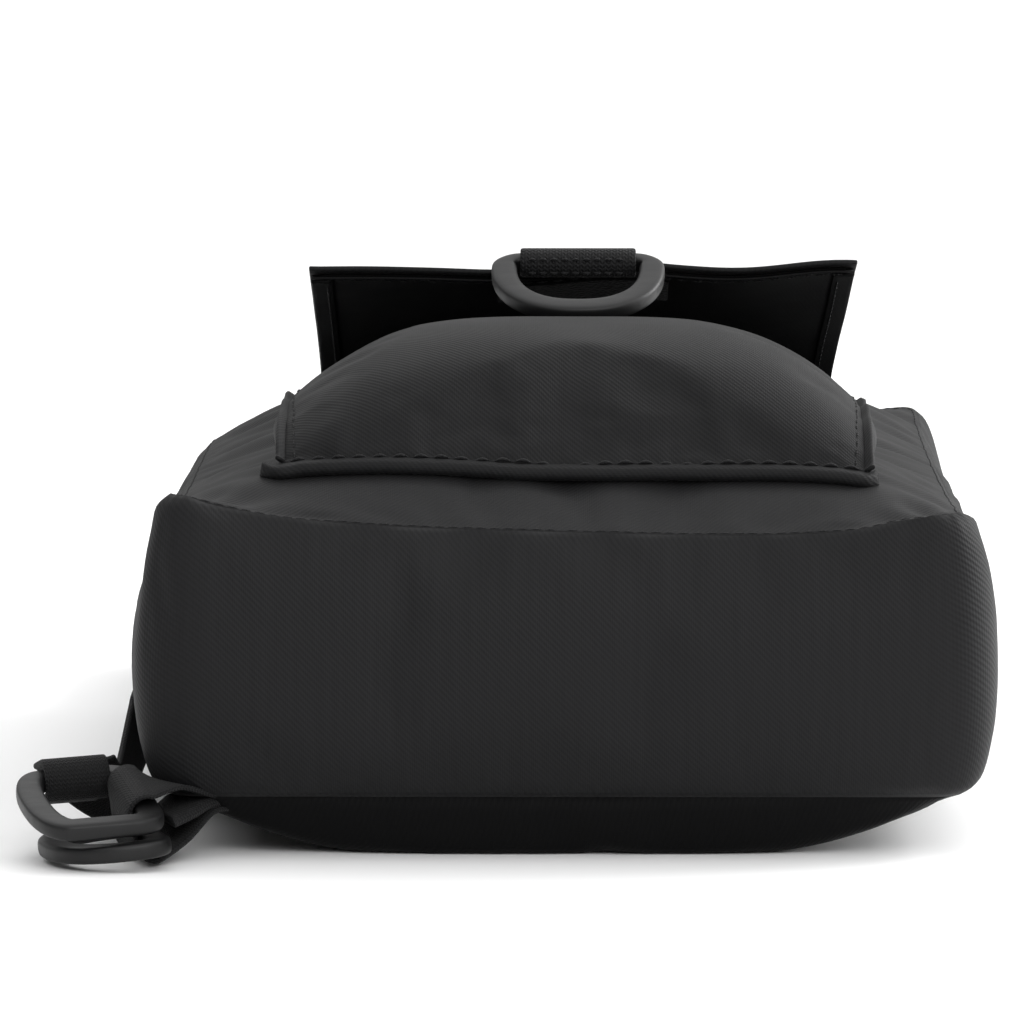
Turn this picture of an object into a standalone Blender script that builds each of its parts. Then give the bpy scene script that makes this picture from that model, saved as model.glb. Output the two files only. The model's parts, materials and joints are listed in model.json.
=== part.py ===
"""Sling bag lying on its back: twill body, bellows front pocket under a propped flap, shoulder strap.

Axes: +Y from the bag's bottom to its top, +Z from the back panel (on the ground) to the front,
+X to the right when looking along +Y. Origin: on the ground, under the body's centre.
Run with: blender --background --python part.py
"""

import math

import bmesh
import bpy
from mathutils import Matrix, Vector

MM = 0.001
UP = Vector((0, 0, 1))

# ---------------------------------------------------------------- driving dimensions
HALF_WIDTH = 86 * MM          # body, at its seams
HALF_LENGTH = 140 * MM
CORNER_RADIUS = 18 * MM       # of the body's outline, seen from the front
BACK_SEAM_Z = 13 * MM
FRONT_SEAM_Z = 71 * MM
SIDE_BULGE = 6 * MM           # how far the gusset swells between its seams
FRONT_CROWN = 11 * MM
WALL = 1.6 * MM               # face fabric, foam and lining, sewn together
GAP = 0.35 * MM               # left between neighbouring pieces

POCKET_CENTRE_X = 2 * MM
POCKET_HALF_WIDTH = 63 * MM
POCKET_NEAR_Y = -115 * MM
POCKET_MOUTH_Y = 62 * MM
POCKET_SHOULDER = 50 * MM     # length of the rounded near end
POCKET_HEIGHT = 25 * MM
POCKET_MOUTH_HEIGHT = 3 * MM
POCKET_WALL = 1.6 * MM
POCKET_SIDE_DROP = 0.5        # share of the height lost at the sides
HEM_THICK = 3.0 * MM

FLAP_CENTRE_X = 4 * MM
FLAP_HALF_WIDTH = 63.5 * MM
FLAP_HINGE_Y = 100 * MM
FLAP_HINGE_Z = 85.5 * MM
FLAP_RISE = 31.5 * MM
FLAP_WALL = 1.2 * MM

WEB_WIDTH = 25 * MM
WEB_THICK = 1.1 * MM
RING_ROD = 2.2 * MM           # half the D-ring's thickness
RING_BAND = 3.0 * MM          # half the D-ring's width in its own plane
RING_INSIDE = 28 * MM
RING_CORNER = 4 * MM          # radius of the two corners beside the bar, on the centre line
RING_DEPTH = 24 * MM          # bar's centre to the arc's centre line
ARC_POWER = 0.85              # 1 makes the ring's arc an ellipse, less makes it squarer
LOOP_RADIUS = 3.4 * MM        # webbing loop round a D-ring's bar, inside

ZIP_Z = 42 * MM
ZIP_HALF_SLOT = 4.2 * MM
ZIP_START_Y = -60 * MM        # the zip's two ends, on the side gussets
SLIDER_REST_X = 9 * MM

STRAP_PLANE_X = -96.5 * MM    # the strap stands on its edge along the bag's side
STRAP_LOW_Z = 1.0 * MM
STRAP_JOIN_Y = 205 * MM       # where the webbing is sewn to the shoulder pad
STRAP_TURN_RADIUS = 40 * MM
PAD_WIDTH = 42 * MM
PAD_THICK = 5 * MM


# ---------------------------------------------------------------- scene helpers
def clear_scene():
    for thing in list(bpy.data.objects):
        bpy.data.objects.remove(thing)


def new_collection(name):
    made = bpy.data.collections.new(name)
    bpy.context.scene.collection.children.link(made)
    return made


def material(name, colour, roughness, metallic=0.0):
    made = bpy.data.materials.new(name)
    made.use_nodes = True
    shader = made.node_tree.nodes["Principled BSDF"]
    shader.inputs["Base Color"].default_value = (*colour, 1.0)
    shader.inputs["Roughness"].default_value = roughness
    shader.inputs["Metallic"].default_value = metallic
    made.diffuse_color = (*colour, 1.0)
    return made


clear_scene()
BAG = new_collection("sling_bag")
HELPERS = new_collection("cutters_and_guides")

TWILL = material("twill", (0.022, 0.022, 0.025), 0.62)
LINING = material("lining", (0.012, 0.012, 0.014), 0.7)
AIR_MESH = material("air_mesh", (0.018, 0.018, 0.02), 0.85)
FOAM = material("foam", (0.2, 0.2, 0.21), 0.95)
BOARD = material("board", (0.05, 0.05, 0.05), 0.6)
WEBBING = material("webbing", (0.014, 0.014, 0.016), 0.8)
PLASTIC = material("plastic", (0.018, 0.018, 0.02), 0.38)
ZIP = material("zip_tape", (0.014, 0.014, 0.016), 0.75)
METAL = material("slider_metal", (0.03, 0.03, 0.033), 0.35, 0.8)
TAPE = material("hook_and_loop", (0.01, 0.01, 0.011), 0.95)


def add(name, mesh, finish, collection=None):
    """Links a mesh as a named object with its material."""
    made = bpy.data.objects.new(name, mesh)
    mesh.materials.append(finish)
    (collection or BAG).objects.link(made)
    return made


def surface(name, columns, rows, place):
    """A grid mesh. place(u, v), with u and v in -1..1, gives each of its points."""
    mesh = bpy.data.meshes.new(name)
    grid = bmesh.new()
    bmesh.ops.create_grid(grid, x_segments=columns, y_segments=rows, size=1.0)
    for vert in grid.verts:
        vert.co = place(vert.co.x, vert.co.y)
    grid.to_mesh(mesh)
    grid.free()
    mesh.shade_smooth()
    return mesh


def sheet(name, columns, rows, place, thickness, finish, side=1.0):
    """A cloth panel on surface()'s mesh. The thickness grows along the normals when side is 1,
    against them when side is -1, and both ways when side is 0."""
    made = add(name, surface(name, columns, rows, place), finish)
    solid = made.modifiers.new("thickness", "SOLIDIFY")
    solid.thickness = thickness
    solid.offset = side
    solid.use_even_offset = True
    return made


def ribbon(name, path, half_width, thickness, finish, side=1.0, columns=1):
    """Webbing. path is a list of (centre, width direction) along the strip."""
    last = len(path) - 1

    def place(u, v):
        centre, across = path[round((v + 1) / 2 * last)]
        return centre + across * (u * half_width)

    return sheet(name, columns, last, place, thickness, finish, side)


def rod(name, points, finish, radius, cyclic=False, flat=None, resolution=3):
    """A tube along points; flat gives the section's half sizes when it isn't round."""
    curve = bpy.data.curves.new(name, "CURVE")
    curve.dimensions = "3D"
    curve.use_fill_caps = True
    spline = curve.splines.new("POLY")
    spline.points.add(len(points) - 1)
    for target, point in zip(spline.points, points):
        target.co = (*point, 1.0)
    spline.use_cyclic_u = cyclic
    if flat:
        curve.bevel_mode = "OBJECT"
        curve.bevel_object = flat
    else:
        curve.bevel_depth = radius
        curve.bevel_resolution = resolution
    curve.materials.append(finish)
    made = bpy.data.objects.new(name, curve)
    BAG.objects.link(made)
    return made


def oval_section(name, half_a, half_b, corners=10):
    """A guide curve: the closed oval that a flattened tube is swept from."""
    curve = bpy.data.curves.new(name, "CURVE")
    curve.dimensions = "2D"
    spline = curve.splines.new("POLY")
    spline.points.add(corners - 1)
    for i, target in enumerate(spline.points):
        angle = -2 * math.pi * i / corners
        target.co = (half_a * math.cos(angle), half_b * math.sin(angle), 0.0, 1.0)
    spline.use_cyclic_u = True
    made = bpy.data.objects.new(name, curve)
    HELPERS.objects.link(made)
    made.hide_render = True
    made.display_type = "WIRE"
    return made


def box(name, low, high, finish, bevel=0.0, collection=None):
    """An axis-aligned block between two corners, with its edges rounded by bevel."""
    mesh = bpy.data.meshes.new(name)
    block = bmesh.new()
    bmesh.ops.create_cube(block, size=1.0)
    low, high = Vector(low), Vector(high)
    for vert in block.verts:
        vert.co = Vector(
            (low[k] + high[k]) / 2 + vert.co[k] * (high[k] - low[k]) for k in range(3)
        )
    block.to_mesh(mesh)
    block.free()
    made = add(name, mesh, finish, collection)
    if bevel:
        rounding = made.modifiers.new("round", "BEVEL")
        rounding.width = bevel
        rounding.segments = 2
    return made


def cut(target, cutter):
    """Removes cutter from target with a Boolean and keeps the cutter as a hidden guide."""
    cutter.hide_render = True
    cutter.display_type = "WIRE"
    knife = target.modifiers.new("cut_" + cutter.name, "BOOLEAN")
    knife.operation = "DIFFERENCE"
    knife.object = cutter


def hinge(name, point, pieces):
    """An empty on a joint's axis, parent of the pieces that the joint moves."""
    pivot = bpy.data.objects.new(name, None)
    pivot.location = point
    BAG.objects.link(pivot)
    back = Matrix.Translation(-point)
    for piece in pieces:
        moved = bpy.data.objects[piece]
        moved.parent = pivot
        moved.matrix_parent_inverse = back


# ---------------------------------------------------------------- body outline
STRAIGHT_X = HALF_WIDTH - CORNER_RADIUS
STRAIGHT_Y = HALF_LENGTH - CORNER_RADIUS
QUARTER = CORNER_RADIUS * math.pi / 2


def rim(distance):
    """Point and outward direction on the body's outline, distance along it from the middle
    of the bottom edge, positive towards +X and round to the top."""
    sign = 1 if distance >= 0 else -1
    run = abs(distance)
    if run <= STRAIGHT_X:
        point, out = Vector((run, -HALF_LENGTH, 0)), Vector((0, -1, 0))
    elif run <= STRAIGHT_X + QUARTER:
        angle = (run - STRAIGHT_X) / CORNER_RADIUS
        out = Vector((math.sin(angle), -math.cos(angle), 0))
        point = Vector((STRAIGHT_X, -STRAIGHT_Y, 0)) + out * CORNER_RADIUS
    elif run <= STRAIGHT_X + QUARTER + 2 * STRAIGHT_Y:
        along = run - STRAIGHT_X - QUARTER
        point, out = Vector((HALF_WIDTH, along - STRAIGHT_Y, 0)), Vector((1, 0, 0))
    elif run <= STRAIGHT_X + 2 * QUARTER + 2 * STRAIGHT_Y:
        angle = (run - STRAIGHT_X - QUARTER - 2 * STRAIGHT_Y) / CORNER_RADIUS
        out = Vector((math.cos(angle), math.sin(angle), 0))
        point = Vector((STRAIGHT_X, STRAIGHT_Y, 0)) + out * CORNER_RADIUS
    else:
        along = run - STRAIGHT_X - 2 * QUARTER - 2 * STRAIGHT_Y
        point, out = Vector((STRAIGHT_X - along, HALF_LENGTH, 0)), Vector((0, 1, 0))
    return Vector((sign * point.x, point.y, 0)), Vector((sign * out.x, out.y, 0))


HALF_RIM = 2 * STRAIGHT_X + 2 * QUARTER + 2 * STRAIGHT_Y
ZIP_START = STRAIGHT_X + QUARTER + (ZIP_START_Y + STRAIGHT_Y)
CORNER_STEPS = 5


def rim_stops(start, end):
    """Distances along the outline, close together on the corners and far apart elsewhere."""
    stops = {start, end}
    for corner in (STRAIGHT_X, STRAIGHT_X + QUARTER + 2 * STRAIGHT_Y):
        for i in range(CORNER_STEPS + 1):
            near = corner + QUARTER * i / CORNER_STEPS
            stops |= {near, -near, 2 * HALF_RIM - near}
    for i in range(-8, 9):
        stops.add(2 * HALF_RIM * i / 16)
        stops.add(HALF_RIM + 2 * HALF_RIM * i / 16)
    inside = sorted(s for s in stops if start <= s <= end)
    kept = [inside[0]]
    for stop in inside[1:]:
        if stop - kept[-1] > 3 * MM or stop == end:
            kept.append(stop)
    return kept


def all_round(distance):
    """rim() for a distance that runs on past the middle of the top edge."""
    return rim(distance if distance <= HALF_RIM else distance - 2 * HALF_RIM)


def bulge(z):
    return SIDE_BULGE * math.sin(math.pi * (z - BACK_SEAM_Z) / (FRONT_SEAM_Z - BACK_SEAM_Z))


def gusset(name, start, end, low, high, rows, thickness, finish, inset=0.0):
    """A strip of the body's side wall, from one distance along the outline to another."""
    stops = rim_stops(start, end)
    last = len(stops) - 1

    def place(u, v):
        point, out = all_round(stops[round((u + 1) / 2 * last)])
        z = low + (v + 1) / 2 * (high - low)
        return point + out * (bulge(z) - inset) + Vector((0, 0, z))

    return sheet(name, last, rows, place, thickness, finish, side=-1.0)


def rounded(u, v, half_x, half_y, radius):
    """Maps the square -1..1 to a rounded rectangle, ring by ring."""
    level = max(abs(u), abs(v))
    if level < 1e-6:
        return 0.0, 0.0
    x, y = u / level * half_x, v / level * half_y
    core_x, core_y = half_x - radius, half_y - radius
    if abs(x) > core_x and abs(y) > core_y:
        over = Vector((abs(x) - core_x, abs(y) - core_y)).normalized() * radius
        x = math.copysign(core_x + over.x, x)
        y = math.copysign(core_y + over.y, y)
    return x * level, y * level


def swell(x, y, power_x=5, power_y=5):
    """1 in the middle of the body and 0 on its outline."""
    return (1 - min(1, abs(x) / HALF_WIDTH) ** power_x) * (
        1 - min(1, abs(y) / HALF_LENGTH) ** power_y
    )


def front_top(x, y):
    """Height of the front panel's outer face."""
    return FRONT_SEAM_Z + GAP + WALL + FRONT_CROWN * swell(x, y)


# ---------------------------------------------------------------- body
BACK_WALL = 1.5 * MM
BACK_DEPTH = 14.5 * MM          # how far the back panel hangs below its seam
SLOPE_GROWTH = 1.15             # a sheet stands this much taller than its thickness on a slope
LINING_INSET = 4 * MM
LINING_RISE = 1.6 * MM          # the back lining's height above the back seam
LINING_WALL = 0.8 * MM
FOAM_HALF_X, FOAM_HALF_Y = 66 * MM, 116 * MM
FOAM_RISE = 1.0 * MM            # the foam's flat inner face, above the back seam
FOAM_CLEAR = 1.3 * BACK_WALL + 4 * GAP
BOARD_WALL = 1.2 * MM
BOARD_INSET = 2.0 * MM          # from the bottom gusset's seams
BOARD_MARGIN = 6 * MM           # left above and below the board
SLIP_POCKET_HALF_X = 58 * MM
SLIP_POCKET_FROM_Y, SLIP_POCKET_TO_Y = -90 * MM, 40 * MM
SLIP_POCKET_RISE = 3.0 * MM
SLIP_POCKET_WALL = 1.2 * MM


def back_z(x, y):
    """Height of the back panel's outer face; the ground flattens its middle."""
    edge = BACK_SEAM_Z - 2 * GAP - SLOPE_GROWTH * BACK_WALL
    return max(0.0, edge - BACK_DEPTH * swell(x, y, 2.2, 6))


def make_panels():
    half_x, half_y = HALF_WIDTH - GAP, HALF_LENGTH - GAP

    def front(u, v):
        x, y = rounded(u, v, half_x, half_y, CORNER_RADIUS)
        return Vector((x, y, front_top(x, y) - WALL))

    def back(u, v):
        x, y = rounded(u, v, half_x, half_y, CORNER_RADIUS)
        return Vector((x, y, back_z(x, y)))

    def lining(u, v):
        radius = CORNER_RADIUS - LINING_INSET
        x, y = rounded(u, v, half_x - LINING_INSET, half_y - LINING_INSET, radius)
        return Vector((x, y, BACK_SEAM_Z + LINING_RISE))

    sheet("front_panel", 12, 16, front, WALL, TWILL)
    sheet("back_panel", 14, 14, back, BACK_WALL, AIR_MESH)
    sheet("back_lining", 6, 6, lining, LINING_WALL, LINING)


def make_back_foam():
    """The pad between the back panel and its lining: flat inside, domed outside."""

    def base(u, v):
        x, y = rounded(u, v, FOAM_HALF_X, FOAM_HALF_Y, CORNER_RADIUS)
        return Vector((x, y, back_z(x, y) + FOAM_CLEAR))

    pad = surface("back_foam", 10, 10, base)
    mesh = bmesh.new()
    mesh.from_mesh(pad)
    raised = bmesh.ops.extrude_face_region(mesh, geom=mesh.faces[:])
    for item in raised["geom"]:
        if isinstance(item, bmesh.types.BMVert):
            item.co.z = BACK_SEAM_Z + FOAM_RISE
    bmesh.ops.recalc_face_normals(mesh, faces=mesh.faces[:])
    mesh.to_mesh(pad)
    mesh.free()
    add("back_foam", pad, FOAM)


def make_gussets():
    """The side wall: one strip under the bag's bottom and sides, two beside the zip."""
    low, high = BACK_SEAM_Z, FRONT_SEAM_Z - GAP
    gusset("bottom_gusset", GAP - ZIP_START, ZIP_START - GAP, low, high, 5, WALL, TWILL)
    start, end = ZIP_START + GAP, 2 * HALF_RIM - ZIP_START - GAP
    slot_low, slot_high = ZIP_Z - ZIP_HALF_SLOT, ZIP_Z + ZIP_HALF_SLOT
    gusset("gusset_back_strip", start, end, low, slot_low, 2, WALL, TWILL)
    gusset("gusset_front_strip", start, end, slot_high, high, 2, WALL, TWILL)


def make_inside():
    """What stiffens and divides the bag's inside."""
    board_y = BOARD_INSET - HALF_LENGTH
    low = (-STRAIGHT_X, board_y, BACK_SEAM_Z + BOARD_MARGIN)
    high = (STRAIGHT_X, board_y + BOARD_WALL, FRONT_SEAM_Z - BOARD_MARGIN)
    box("base_board", low, high, BOARD)
    base = BACK_SEAM_Z + SLIP_POCKET_RISE
    low = (-SLIP_POCKET_HALF_X, SLIP_POCKET_FROM_Y, base)
    high = (SLIP_POCKET_HALF_X, SLIP_POCKET_TO_Y, base + SLIP_POCKET_WALL)
    box("inner_slip_pocket", low, high, LINING, 0.4 * MM)


def make_body():
    make_panels()
    make_back_foam()
    make_gussets()
    make_inside()


# ---------------------------------------------------------------- main zip
ZIP_INSET = 2.4 * MM            # the tape lies this far under the gusset's outer face
ZIP_WALL = 0.7 * MM
ZIP_REACH = ZIP_HALF_SLOT + 3 * MM
COIL_RADIUS = 1.2 * MM
COIL_OUT = bulge(ZIP_Z - ZIP_REACH) - ZIP_INSET + GAP + COIL_RADIUS
SLIDER_HALF_X, SLIDER_HALF_Z = 5.0 * MM, 3.6 * MM
SLIDER_SLOT_HALF_Z = 1.7 * MM
SLIDER_FACE = COIL_OUT + 2.7 * MM
BRIDGE_RISE = 2.4 * MM          # how far the slider's bridge stands off its face
BRIDGE_ROOT = 0.5 * MM          # how deep its ends are set into the face
BRIDGE_HALF_X = 3.6 * MM
BRIDGE_WIRE = 0.6 * MM
PULL_WIRE = 0.55 * MM
PULL_BEND = 1.5 * MM            # radius of the pull's wire ring
PULL_STRAIGHT = 1.4 * MM        # length of the ring's straight sides
PULL_HALF_X, PULL_HALF_Y, PULL_LENGTH = 2.2 * MM, 1.1 * MM, 12 * MM


def make_zip():
    start, end = ZIP_START + 2 * GAP, 2 * HALF_RIM - ZIP_START - 2 * GAP
    low, high = ZIP_Z - ZIP_REACH, ZIP_Z + ZIP_REACH
    gusset("main_zip_tape", start, end, low, high, 1, ZIP_WALL, ZIP, ZIP_INSET)
    points = []
    for stop in rim_stops(start + 3 * MM, end - 3 * MM):
        point, out = all_round(stop)
        points.append(point + out * COIL_OUT + Vector((0, 0, ZIP_Z)))
    rod("main_zip_coil", points, ZIP, COIL_RADIUS, resolution=1)
    for side, sign in (("left", -1), ("right", 1)):
        make_slider(side, sign * SLIDER_REST_X)


def make_slider(side, x):
    """A zip slider straddling the coil, with a bridge over its face for the pull."""
    coil_y = HALF_LENGTH + COIL_OUT
    face_y = HALF_LENGTH + SLIDER_FACE
    low = (x - SLIDER_HALF_X, coil_y - 0.8 * MM, ZIP_Z - SLIDER_HALF_Z)
    high = (x + SLIDER_HALF_X, face_y, ZIP_Z + SLIDER_HALF_Z)
    body = box("zip_slider_" + side, low, high, METAL, 0.5 * MM)
    low = (x - 2 * SLIDER_HALF_X, coil_y - 5 * MM, ZIP_Z - SLIDER_SLOT_HALF_Z)
    high = (x + 2 * SLIDER_HALF_X, coil_y + COIL_RADIUS + GAP, ZIP_Z + SLIDER_SLOT_HALF_Z)
    cut(body, box("coil_slot_" + side, low, high, METAL, collection=HELPERS))
    arch = []
    for i in range(9):
        angle = math.pi * i / 8
        out = face_y - BRIDGE_ROOT + (BRIDGE_RISE + BRIDGE_ROOT) * math.sin(angle)
        arch.append(Vector((x + BRIDGE_HALF_X * math.cos(angle), out, ZIP_Z)))
    rod("zip_bridge_" + side, arch, METAL, BRIDGE_WIRE, resolution=1)
    join(body, "zip_bridge_" + side)
    hinge("zip_slider_rest_" + side, Vector((x, coil_y, ZIP_Z)), ["zip_slider_" + side])
    make_pull(side, Vector((x, face_y + BRIDGE_RISE, ZIP_Z)))


def join(target, name):
    """Joins the curve object called name into target with a Boolean union."""
    source = bpy.data.objects[name]
    bpy.context.view_layer.update()
    graph = bpy.context.evaluated_depsgraph_get()
    mesh = bpy.data.meshes.new_from_object(source.evaluated_get(graph))
    welded = bmesh.new()
    welded.from_mesh(mesh)
    bmesh.ops.remove_doubles(welded, verts=welded.verts[:], dist=0.01 * MM)
    welded.to_mesh(mesh)
    welded.free()
    tool = bpy.data.objects.new(name + "_tool", mesh)
    tool.matrix_world = source.matrix_world
    HELPERS.objects.link(tool)
    bpy.data.objects.remove(source)
    tool.hide_render = True
    tool.display_type = "WIRE"
    union = target.modifiers.new("join_" + name, "BOOLEAN")
    union.operation = "UNION"
    union.object = tool


def make_pull(side, pivot):
    """A zip pull: a small wire ring through the slider's bridge, with a moulded grip on it."""
    wire = []
    for half_turn, drop in ((0, 0.0), (1, PULL_STRAIGHT)):
        for i in range(6):
            angle = math.pi * (half_turn + i / 5)
            out, rise = PULL_BEND * math.cos(angle), PULL_BEND * math.sin(angle) - drop
            wire.append(pivot + Vector((0, out, rise)))
    rod("pull_ring_" + side, wire, METAL, PULL_WIRE, cyclic=True, resolution=1)
    top = pivot.z - PULL_STRAIGHT - PULL_BEND + 0.4 * MM
    low = (pivot.x - PULL_HALF_X, pivot.y - PULL_HALF_Y, top - PULL_LENGTH)
    high = (pivot.x + PULL_HALF_X, pivot.y + PULL_HALF_Y, top)
    pull = box("zip_pull_" + side, low, high, PLASTIC, 0.5 * MM)
    join(pull, "pull_ring_" + side)
    hinge("zip_pull_pivot_" + side, pivot, ["zip_pull_" + side])


# ---------------------------------------------------------------- front pocket
def pocket_height(x, y):
    """Height of the pocket's inner face above the front panel."""
    across = min(1.0, abs(x - POCKET_CENTRE_X) / POCKET_HALF_WIDTH)
    arch = 1 - POCKET_SIDE_DROP * across**3.4
    crest = POCKET_NEAR_Y + POCKET_SHOULDER
    if y < crest:
        share = max(0.0, 1 - (crest - y) / POCKET_SHOULDER)
        rise = math.sqrt(max(0.0, 1 - (1 - share) ** 2))
        return POCKET_HEIGHT * rise * arch
    run = (y - crest) / (POCKET_MOUTH_Y - crest)
    fall = 0.5 + 0.5 * math.cos(math.pi * min(1.0, run))
    return (POCKET_MOUTH_HEIGHT + (POCKET_HEIGHT - POCKET_MOUTH_HEIGHT) * fall) * arch


def pocket_base(x, y):
    return front_top(x, y) + 2 * GAP


POCKET_ROWS = 16
WALL_FIRST_ROW, WALL_LAST_ROW = 2, 13     # the pocket's side walls stop short of both ends
SIDE_WALL = 1.2 * MM
SIDE_TUCK = 4 * MM              # how far the side walls fold inwards, like a bellows
HEM_HALF_Y = 2.0 * MM
HEM_SPREAD = 3 * MM             # the hem is this much wider than the pocket on each side
BINDING_HALF_Y = 1.8 * MM
BINDING_THICK = 2.2 * MM
PATCH_HALF_X = 20 * MM          # the hook and the loop patch
LOOP_PATCH_Y = 16 * MM
LOOP_PATCH_HALF_Y = 10 * MM
LOOP_PATCH_THICK = 1.2 * MM


def pocket_y(v):
    """Rows of the pocket: close together where it rises, even along the rest."""
    share = (v + 1) / 2
    shoulder = 0.45
    crest = POCKET_NEAR_Y + POCKET_SHOULDER
    if share < shoulder:
        return crest - POCKET_SHOULDER * math.cos(share / shoulder * math.pi / 2)
    return crest + (POCKET_MOUTH_Y - crest) * (share - shoulder) / (1 - shoulder)


def make_pocket():
    def face(u, v):
        x = POCKET_CENTRE_X + u * POCKET_HALF_WIDTH
        y = pocket_y(v)
        return Vector((x, y, pocket_base(x, y) + max(HEM_THICK + 2 * GAP, pocket_height(x, y))))

    sheet("pocket_front", 14, POCKET_ROWS, face, POCKET_WALL, TWILL)

    for side, sign in (("left", -1), ("right", 1)):

        def wall(u, v, sign=sign):
            row = WALL_FIRST_ROW + (u + 1) / 2 * (WALL_LAST_ROW - WALL_FIRST_ROW)
            y = pocket_y(-1 + 2 * row / POCKET_ROWS)
            edge_x = POCKET_CENTRE_X + sign * (POCKET_HALF_WIDTH - 0.5 * MM)
            low = pocket_base(edge_x, y) + 2 * GAP
            top = low + pocket_height(edge_x, y) - 5 * GAP
            share = (v + 1) / 2
            tuck = SIDE_TUCK * math.sin(math.pi * share) * min(1, (top - low) / (10 * MM))
            return Vector((edge_x - sign * tuck, y, low + share * (top - low)))

        columns = WALL_LAST_ROW - WALL_FIRST_ROW
        sheet("pocket_side_" + side, columns, 3, wall, SIDE_WALL, TWILL, side=-sign)

    def hem(u, v):
        x = POCKET_CENTRE_X + u * (POCKET_HALF_WIDTH + HEM_SPREAD)
        y = POCKET_NEAR_Y - GAP + (v - 1) * HEM_HALF_Y
        return Vector((x, y, pocket_base(x, y)))

    sheet("pocket_hem", 12, 1, hem, HEM_THICK, TWILL)

    def binding(u, v):
        x = POCKET_CENTRE_X + u * (POCKET_HALF_WIDTH - 1 * MM)
        y = POCKET_MOUTH_Y + 2 * GAP + (v + 1) * BINDING_HALF_Y
        return Vector((x, y, pocket_base(x, y) + pocket_height(x, POCKET_MOUTH_Y) - GAP))

    sheet("pocket_mouth_binding", 10, 1, binding, BINDING_THICK, WEBBING)

    def loop_tape(u, v):
        x = FLAP_CENTRE_X + u * PATCH_HALF_X
        y = LOOP_PATCH_Y + v * LOOP_PATCH_HALF_Y
        clear = 1.05 * POCKET_WALL + GAP
        return Vector((x, y, pocket_base(x, y) + pocket_height(x, y) + clear))

    sheet("pocket_loop_tape", 4, 2, loop_tape, LOOP_PATCH_THICK, TAPE)


# ---------------------------------------------------------------- flap
FLAP_LINING_SHARE = 0.985       # the lining's size beside the shell's
FLAP_LINING_WALL = 0.7 * MM
HOOK_PATCH_V, HOOK_PATCH_HALF_V = 0.70, 0.18    # its place between the hinge and the edge
HOOK_PATCH_THICK = 1.1 * MM
SEAM_STRIP_OFFSET = 7.0 * MM    # from the hinge line, away from the flap
SEAM_STRIP_HALF_Y = 5 * MM
SEAM_STRIP_THICK = 1.8 * MM


def flap_point(u, v, lift=0.0, half=FLAP_HALF_WIDTH):
    """v runs from -1 at the hinge to 1 at the free edge; lift is measured along Z."""
    share = (v + 1) / 2
    y = FLAP_HINGE_Y * (1 - share)
    z = FLAP_HINGE_Z + FLAP_RISE * share**0.85
    return Vector((FLAP_CENTRE_X + u * half, y, z + lift))


def ring_outline(half, depth, leg):
    """Closed outline of a ring in its own plane: a straight bar at r = 0, two rounded corners,
    legs up to r = leg, and a squarish arc out to r = depth."""
    corner = RING_CORNER
    quarter = [math.pi / 2 * i / 4 for i in range(5)]
    side = [(half - corner + corner * math.sin(a), corner - corner * math.cos(a)) for a in quarter]
    steps = 12
    arc = []
    for i in range(steps + 1):
        across, out = math.cos(math.pi * i / steps), math.sin(math.pi * i / steps)
        across = math.copysign(abs(across) ** ARC_POWER, across)
        arc.append((half * across, leg + (depth - leg) * abs(out) ** ARC_POWER))
    if leg == corner:
        arc = arc[1:-1]
    return side + arc + [(-a, r) for a, r in reversed(side)]


def ring(name, pivot, bar_dir, reach_dir, depth, leg):
    """A moulded ring: its bar through pivot along bar_dir, the rest towards reach_dir."""
    half = RING_INSIDE / 2 + RING_BAND
    section = bpy.data.objects.get("ring_section") or oval_section("ring_section", RING_BAND, RING_ROD)
    points = [Vector((a, r, 0)) for a, r in ring_outline(half, depth, leg)]
    made = rod(name, points, PLASTIC, 0.0, cyclic=True, flat=section)
    normal = bar_dir.cross(reach_dir).normalized()
    turn = Matrix((bar_dir, reach_dir, normal)).transposed().to_4x4()
    made.matrix_world = Matrix.Translation(pivot) @ turn
    return made


def arc_round(centre, out_dir, up_dir, first, last, radius, steps=6):
    """Points on a circle round a bar; angles in degrees from out_dir towards up_dir."""
    angles = (math.radians(first + (last - first) * i / steps) for i in range(steps + 1))
    return [centre + (out_dir * math.cos(a) + up_dir * math.sin(a)) * radius for a in angles]


def turned(axis, angle, vector):
    return Matrix.Rotation(angle, 3, axis) @ vector


FLAP_BAR = Vector((FLAP_CENTRE_X, -8.5 * MM, 120.2 * MM))
FLAP_RING_SLOPE = math.radians(23)
FLAP_PIECES = ["flap_shell", "flap_lining", "flap_hook_tape", "flap_tab"]


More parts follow.
